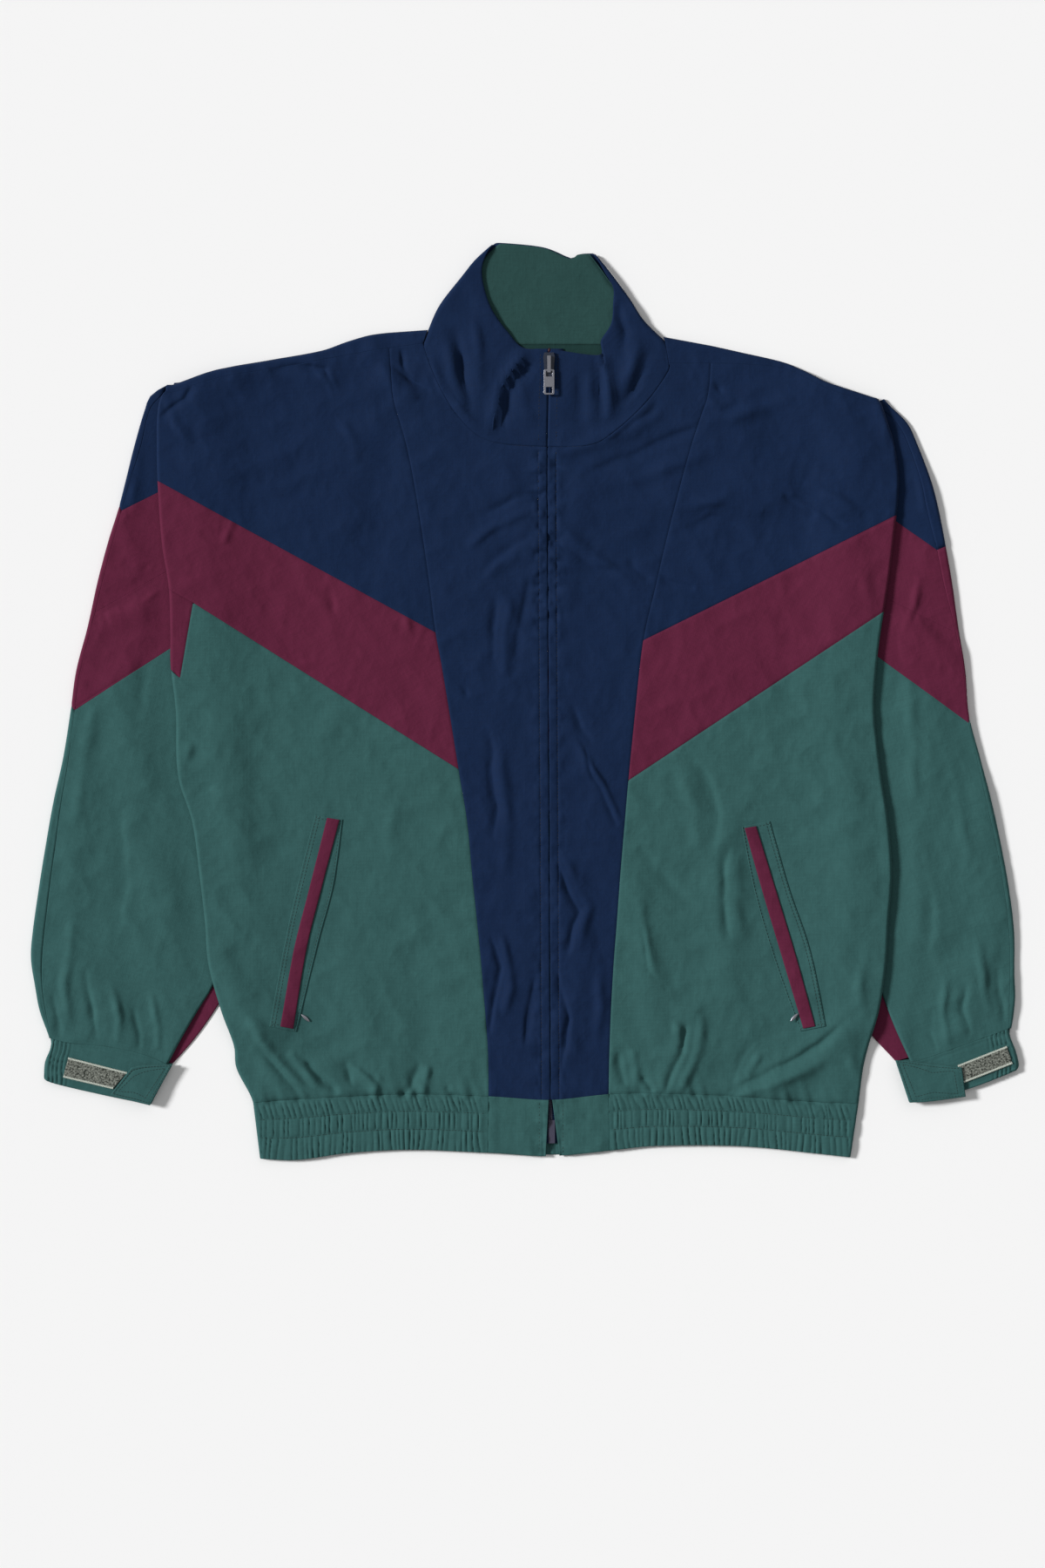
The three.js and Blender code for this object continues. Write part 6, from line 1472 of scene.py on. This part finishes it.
addPanel("collarRight", "collar_right", [rightNeck, mouthRight, zipEdges["right"], collarOuterRight],
         frontLevel, navy, {"right": "roll", "bottom": "plain"}, onFloorCloth, radius=2.0, cell=1.4,
         extra={"left": lipLines})
backSideLeft = curve(np.vstack([collarSeamBack[0], collarSideLeft[1:] + [1.6, -0.8]]))
backSideRight = curve(np.vstack([collarSeamBack[-1], collarSideRight[1:] + [-1.6, -0.8]]))
backTop = curve(collarTop)
backTop[0], backTop[-1] = backSideLeft[-1], backSideRight[-1]
addPanel("collarBack", "collar_back", [collarSeamBack, backTop, backSideLeft, backSideRight], onFloor, navy,
         {"bottom": "plain", **free}, cell=4)
insideLevel = floorLevel + cloth["wall"] / 2 + 0.3 + cloth["thinWall"] / 2
insideCreases = [
    ([(8, 352), (30, 342), (46, 346)], 5, -0.5, 0.3),
    ([(-14, 330), (-6, 318)], 5, 0.5, 0),
    ([(50, 330), (58, 318)], 4, -0.5, 0.2),
    ([(0, 372), (26, 366), (44, 370)], 7, 0.4, 0),
]


def insideWaves(x, y):
    # soft waves and a few creases over the collar's back
    waves = 0.35 * softNoise(x, y, 17, 19)
    return insideLevel + 0.3 + waves + creaseHeight(insideCreases, x, y)


def onCollarBack(x, y):
    # flat on the collar's back
    return np.full(np.shape(x), insideLevel)


def shrunk(points):
    # outlines of the inside, drawn in towards the collar's middle
    return np.array([16, 340]) + (points - [16, 340]) * [0.93, 0.955] + [0, 1.4]


insideSeam = shrunk(collarSeamBack)
insideSeam[:, 1] = 308
insideTop, insideLeft, insideRight = shrunk(backTop), shrunk(backSideLeft), shrunk(backSideRight)
insideLeft[0], insideRight[0] = insideSeam[0], insideSeam[-1]
addPanel("collarInside", "collar_inside", [insideSeam, insideTop, insideLeft, insideRight], insideWaves,
         greenInside, {"bottom": "plain", **free}, wall=cloth["thinWall"], cell=2)
# Neck facing: the inside's cloth, darkened as painted shade where it lies deep under the collar's fronts
facingTop = np.array([(-58, 307.8), (92, 307.8)], float)
facingLow = curve([(-52, 294), (20, 286), (86, 294)])
facingEnds = [straight(facingTop[0], facingLow[0]), straight(facingTop[-1], facingLow[-1])]
addPanel("neckFacing", "neck_facing", [facingTop, facingLow, *facingEnds], onCollarBack, greenPaintedShade,
         {"bottom": "plain", **free}, wall=cloth["thinWall"], cell=2)
print("collar made")

# Zip: tapes under the lips, teeth, and a box at the foot
zipTape = {"width": 12.0, "wall": 0.8, "drop": 1.95}
for side, sign in (("left", -1), ("right", 1)):
    y = np.linspace(zipTopY, -380, 301)
    near = np.column_stack([bodyLine("zip", y) + 0.3 * sign, y])
    near[:, 0] = np.where(y > 219.8, zipMiddle + 0.4 * sign, near[:, 0])
    far = near + [zipTape["width"] * sign, 0]
    columnsOf = [near + (far - near) * share for share in (0, 0.04, 0.5, 1)]
    grid = np.stack(columnsOf if side == "right" else columnsOf[::-1], axis=1)
    level = frontLevel(grid[..., 0], grid[..., 1]) - zipTape["drop"]
    points = np.dstack([grid, level])
    addSheet("zipTape" + side.capitalize(), "zip_tape_" + side, points, shellNormals(points, {}),
             np.full(level.shape, zipTape["wall"] / 2), grid, navy)


def repeated(name, template, faces, places, alongs, material, slot):
    # one small form set at many places: each point is place + sideways x + along y + up z
    alongs = unit(np.asarray(alongs, float))
    sideways = unit(np.cross(alongs, [0, 0, 1]))
    ups = unit(np.cross(sideways, alongs))
    turned = np.asarray(places)[:, None]
    for axis, directions in enumerate((sideways, alongs, ups)):
        turned = turned + template[None, :, axis, None] * directions[:, None]
    allFaces = faces[None] + np.arange(len(places))[:, None, None] * len(template)
    mesh = bpy.data.meshes.new(name)
    mesh.from_pydata(turned.reshape(-1, 3) * mm, [], allFaces.reshape(-1, faces.shape[1]))
    mesh.polygons.foreach_set("use_smooth", np.ones(len(mesh.polygons), bool))
    mesh.update()
    return showPiece(name, mesh, material)


def bead(width, length, height, rings=2):
    # a rounded grain: six-sided rings whose radius follows sin^0.6 along its length, closed by quads
    sides = 6
    angle = np.linspace(0, 2 * np.pi, sides, endpoint=False)
    t = np.linspace(0, 1, rings + 2)
    radius = np.maximum(np.sin(np.pi * t), 0.02) ** 0.6
    points = np.stack([
        np.outer(radius, np.cos(angle)) * width / 2,
        np.repeat((t - 0.5)[:, None], sides, 1) * length,
        np.outer(radius, np.sin(angle)) * height / 2,
    ], -1).reshape(-1, 3)
    i, j = np.meshgrid(np.arange(rings + 1), np.arange(sides), indexing="ij")
    k = (j + 1) % sides
    corners = [i * sides + j, i * sides + k, (i + 1) * sides + k, (i + 1) * sides + j]
    start = np.array([[0, 3, 2, 1], [0, 5, 4, 3]])
    end = (rings + 1) * sides + np.array([[0, 1, 2, 3], [0, 3, 4, 5]])
    return points, np.concatenate([np.stack(corners, -1).reshape(-1, 4), start, end])


stitch = {"pitch": 3.0, "length": 2.2, "width": 0.55, "height": 0.36}


def stitchRow(points, level, lift, pitch=None):
    # places and directions of stitches along a line, each from just behind it to just ahead
    pitch = pitch or stitch["pitch"]
    points = np.asarray(points, float)
    count = max(2, int(lengthOf(points) / pitch))
    shares = (np.arange(count) + 0.5) / count
    place = along(points, shares)
    step = 0.45 * pitch / lengthOf(points)
    ahead, behind = along(points, shares + step), along(points, shares - step)
    heights = [level(p[:, 0], p[:, 1]) for p in (behind, place, ahead)]
    directions = np.column_stack([ahead - behind, heights[2] - heights[0]])
    return np.column_stack([place, heights[1] + lift]), directions


def addStitches(name, rows, look, across=False):
    # one piece of all the stitches of some rows, along them or turned across them
    places = np.vstack([row[0] for row in rows])
    directions = np.vstack([row[1] for row in rows])
    if across:
        directions = directions[:, [1, 0, 2]] * [-1, 1, 0]
    template, faces = bead(stitch["width"], stitch["length"], stitch["height"])
    repeated(name, template, faces, places, directions, *look)


# Teeth where the zip opens at its foot, and the end of a thread at its top
zipTeethY = np.arange(-341, -367, -1.5)
teethPlaces = []
for sign in (-1, 1):
    x = 21.9 + sign * (0.7 + 0.045 * np.maximum(-352 - zipTeethY, 0))
    teethPlaces.append(np.column_stack([x, zipTeethY + sign * 0.35, frontLevel(x, zipTeethY) - 0.9]))
teethAlong = np.tile([0.0, 1, 0], (2 * len(zipTeethY), 1))
repeated("zipTeeth", *bead(2.6, 1.1, 1.3), np.vstack(teethPlaces), teethAlong, boxPlastic, "zip_plastic")
threadPlace = np.array([[20.7, 303.0, float(frontLevel(20.7, 303.0)) + 0.7]])
repeated("zipEndThread", *bead(2.4, 4.2, 1.2), threadPlace, np.array([[0.1, 1, 0]]), *maroonThread)
for name, material in (("zip_slider", sliderMetal), ("zip_pull", metal), ("zip_box", boxPlastic)):
    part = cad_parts[name]
    part.data.materials.clear()
    part.data.materials.append(material)
    weld = part.modifiers.new("weld", "WELD")
    weld.merge_threshold = 0.00001
    bevel = part.modifiers.new("roundedEdges", "BEVEL")
    bevel.width, bevel.segments, bevel.limit_method = 0.22 * mm, 2, "ANGLE"
print("zip made")

# Pockets: stitched flange, welt, and a small pull at the lower end, given by its place, its turn
# and its lift
pockets = {
    "left": {
        "weltA": [(-170.5, -99.5), (-187, -165), (-199.5, -215), (-210.5, -279)],
        "weltB": [(-159.8, -101.3), (-176, -163), (-188.5, -214), (-199.5, -281.2)],
        "flangeA": [(-181, -97), (-196, -157), (-208, -212), (-220, -279)],
        "flangeB": [(-157.2, -101), (-165, -157), (-178.5, -208), (-197, -284)],
        "pull": (-189.2, -272, -0.72, 0.75),
    },
    "right": {
        "weltA": [(189, -108.5), (205, -165), (222, -222), (239.5, -281)],
        "weltB": [(199, -106.8), (217, -165), (233, -218), (249.8, -279)],
        "flangeA": [(186.5, -107), (198, -165), (216, -226), (237, -283.5)],
        "flangeB": [(210.8, -102.5), (227.6, -161), (245.5, -214), (258.8, -279)],
        "pull": (231.6, -271.4, -2.3, 2.3),
    },
}
pocketForm = {
    "flangeLift": 1.25,
    "weltLift": 2.35,
    "flangeWall": 0.8,
    "weltWall": 1.0,
    "grooveInset": 1.9,
    "stitchInset": {"left": 1.9, "right": 0.9},
    "secondRow": 2.6,
}
pocketStitches = []
for side, pocket in pockets.items():
    names = side.capitalize()
    lines = {key: curve(pocket[key]) for key in ("weltA", "weltB", "flangeA", "flangeB")}

    def outlines(a, b):
        # straight ends between two long edges
        start, end = straight(lines[a][0], lines[b][0]), straight(lines[a][-1], lines[b][-1])
        return [start, end, lines[a], lines[b]]

    def flangeLevel(x, y):
        # grooves where its two long edges are stitched
        insets = [np.abs(nearLine(lines[key][::4], x, y)[0]) for key in ("flangeA", "flangeB")]
        grooves = sum(np.exp(-(((inset - pocketForm["grooveInset"]) / 0.7) ** 2)) for inset in insets)
        return frontLevel(x, y) + pocketForm["flangeLift"] - 0.3 * grooves

    def weltLevel(x, y):
        # a folded lip: a little higher along its middle
        middle = (lines["weltA"] + lines["weltB"]) / 2
        away = np.abs(nearLine(middle[::4], x, y)[0])
        return frontLevel(x, y) + pocketForm["weltLift"] + 0.35 * (1 - (away / 5.5) ** 2)

    addPanel("pocketFlange" + names, "pocket_flange_" + side, outlines("flangeA", "flangeB"),
             flangeLevel, green, allFree, wall=pocketForm["flangeWall"], cell=1.6)
    addPanel("pocketWelt" + names, "pocket_welt_" + side, outlines("weltA", "weltB"), weltLevel, maroon,
             allFree, wall=pocketForm["weltWall"], cell=1.4)
    inset, second = pocketForm["stitchInset"][side], pocketForm["secondRow"]
    shift = unit(lines["flangeB"] - lines["flangeA"])
    edgeA, edgeB = lines["flangeA"] + shift * inset, lines["flangeB"] - shift * inset
    doubled = edgeA + shift * second if side == "left" else edgeB - shift * second
    for row in (edgeA, edgeB, straight(edgeA[1], edgeB[1]), straight(edgeA[-2], edgeB[-2]), doubled):
        pocketStitches.append(stitchRow(row, flangeLevel, pocketForm["flangeWall"] / 2 + 0.05))
    pullX, pullY, turn, lift = pocket["pull"]
    direction = np.array([[math.cos(turn), math.sin(turn), 0.0]])
    place = np.array([[pullX, pullY, float(frontLevel(pullX, pullY)) + lift + 1.0]])
    pull = repeated("pocketPull" + names, *bead(3.3, 9.4, 1.4, 9), place, direction, metal, "steel")
    smoothPull = pull.modifiers.new("smooth", "SUBSURF")
    smoothPull.levels = smoothPull.render_levels = 2
    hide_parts("pocket_pull_" + side)
print("pockets made")

# Sewing: rows along the hem, the pockets, the zip lips, the straps and the patches
hemStitches = []
for side, (outX, seamX, outLow, seamLow, zipTop, zipLow) in hemEnds.items():
    for row in hem["rows"]:
        x = np.linspace(outX + (outLow - outX) * row, seamX + (seamLow - seamX) * row, 120)[2:-2]
        line = np.column_stack([x, hemJoin(x) + (hemLow(x) - hemJoin(x)) * row])
        hemStitches.append(stitchRow(line, hemGatherLevel, cloth["thinWall"] / 2 + 0.05, 2.6))
    tabX = tabStitchX[side]
    tabLine = np.array([(tabX, float(hemJoin(tabX)) - 2), (tabX, float(hemLow(tabX)) + 2)])
    hemStitches.append(stitchRow(tabLine, hemTabLevel, cloth["wall"] / 2 + 0.02))
addStitches("stitchesHem", hemStitches, greenThread)
addStitches("stitchesPockets", pocketStitches, greenThread)
zipStitches = []
for shift in (-7.6, 7.6):
    y = np.linspace(300, -338, 300)
    row = np.column_stack([bodyLine("zip", y) + shift, y])
    zipStitches.append(stitchRow(row, frontLevel, cloth["wall"] / 2 + 0.02))
addStitches("stitchesZip", zipStitches, navyThread)
strapRows, patchRows = [], []
for side, cuff in cuffs.items():
    inner = unit(np.mean(cuff["strapOutline"], axis=0) - cuff["strapOutline"])
    for inset in (2.4, 7.5):
        row = cuff["strapOutline"] + inner * inset
        strapRows.append(stitchRow(row, cuff["strapLevel"], cloth["wall"] / 2 + 0.02, 2.6))
    corners = np.array(cuff["patch"], float)
    for a, b in ((corners[0], corners[1]), (corners[2], corners[3])):
        row = straight(a, b) + (np.mean(corners, axis=0) - (a + b) / 2) * 0.08
        patchRows.append(stitchRow(row, cuff["patchLevel"], cloth["thinWall"] / 2 + 0.05, 0.7))
addStitches("stitchesStraps", strapRows, greenThread)
addStitches("stitchesPatches", patchRows, paleThread, across=True)
print("stitches made")


# Floor, lights and camera. The picture is 1200 by 1800 pixels, 0.75 mm to a pixel at the cloth.
studio = {
    "floorColour": "#f4f4f4",
    "skyStrength": 0.27,
    "key": {"from": (-0.82, 0.2, 0.54), "strength": 3.85, "angle": 12},
    "fill": {"from": (0.3, 0.5, 0.81), "strength": 0.3, "angle": 60},
    "pixel": 0.75,
    "lens": 100,
    "sensor": 36,
    "centre": (-2.25, -70.5),
    "clothHeight": 6,
}


def makeFloor():
    # a wide matt sheet of paper, its grain drawn 2 mm across
    material, tree = newMaterial("paperMatt")
    place = addNode(tree, "ShaderNodeTexCoord", output="Object")
    grain = addNode(tree, "ShaderNodeTexNoise", {"Scale": 1 / (2 * mm)}, {"Vector": place})
    bump = addNode(tree, "ShaderNodeBump", {"Strength": 0.02, "Distance": 0.1 * mm}, {"Height": grain})
    colour = linear(studio["floorColour"])
    addShader(tree, {"Base Color": colour, "Roughness": 1.0, "Specular IOR Level": 0.0}, {"Normal": bump})
    mesh = bpy.data.meshes.new("floor")
    mesh.from_pydata([(-4, -4, 0), (4, -4, 0), (4, 4, 0), (-4, 4, 0)], [], [(0, 1, 2, 3)])
    mesh.materials.append(material)
    floor = bpy.data.objects.new("floor", mesh)
    bpy.context.scene.collection.objects.link(floor)


def addLight(name, source):
    # parallel light from a direction, as wide as its angle
    light = bpy.data.lights.new(name, "SUN")
    light.energy, light.angle = source["strength"], math.radians(source["angle"])
    lamp = bpy.data.objects.new(name, light)
    x, y, z = source["from"]
    lamp.location = source["from"]
    lamp.rotation_euler = (0, -math.atan2(math.hypot(x, y), z), math.atan2(-y, -x))
    bpy.context.scene.collection.objects.link(lamp)


makeFloor()
addLight("key", studio["key"])
addLight("fill", studio["fill"])
world = bpy.data.worlds.new("studio")
world.use_nodes = True
world.node_tree.nodes["Background"].inputs[0].default_value = (1, 1, 1, 1)
world.node_tree.nodes["Background"].inputs[1].default_value = studio["skyStrength"]
scene = bpy.context.scene
scene.world = world
scene.view_settings.view_transform = "Standard"
camera = bpy.data.cameras.new("overhead")
camera.lens, camera.sensor_width, camera.clip_end = studio["lens"], studio["sensor"], 50
overhead = bpy.data.objects.new("overhead", camera)
tall = 1800 * studio["pixel"]
distance = tall * studio["lens"] / studio["sensor"]
overhead.location = (*[c * mm for c in studio["centre"]], (distance + studio["clothHeight"]) * mm)
scene.collection.objects.link(overhead)
scene.camera = overhead
print("floor, lights and camera made")

for name, (width, length, area) in flatSizes.items():
    print("cut", name, width, "x", length, "mm,", area, "cm2")
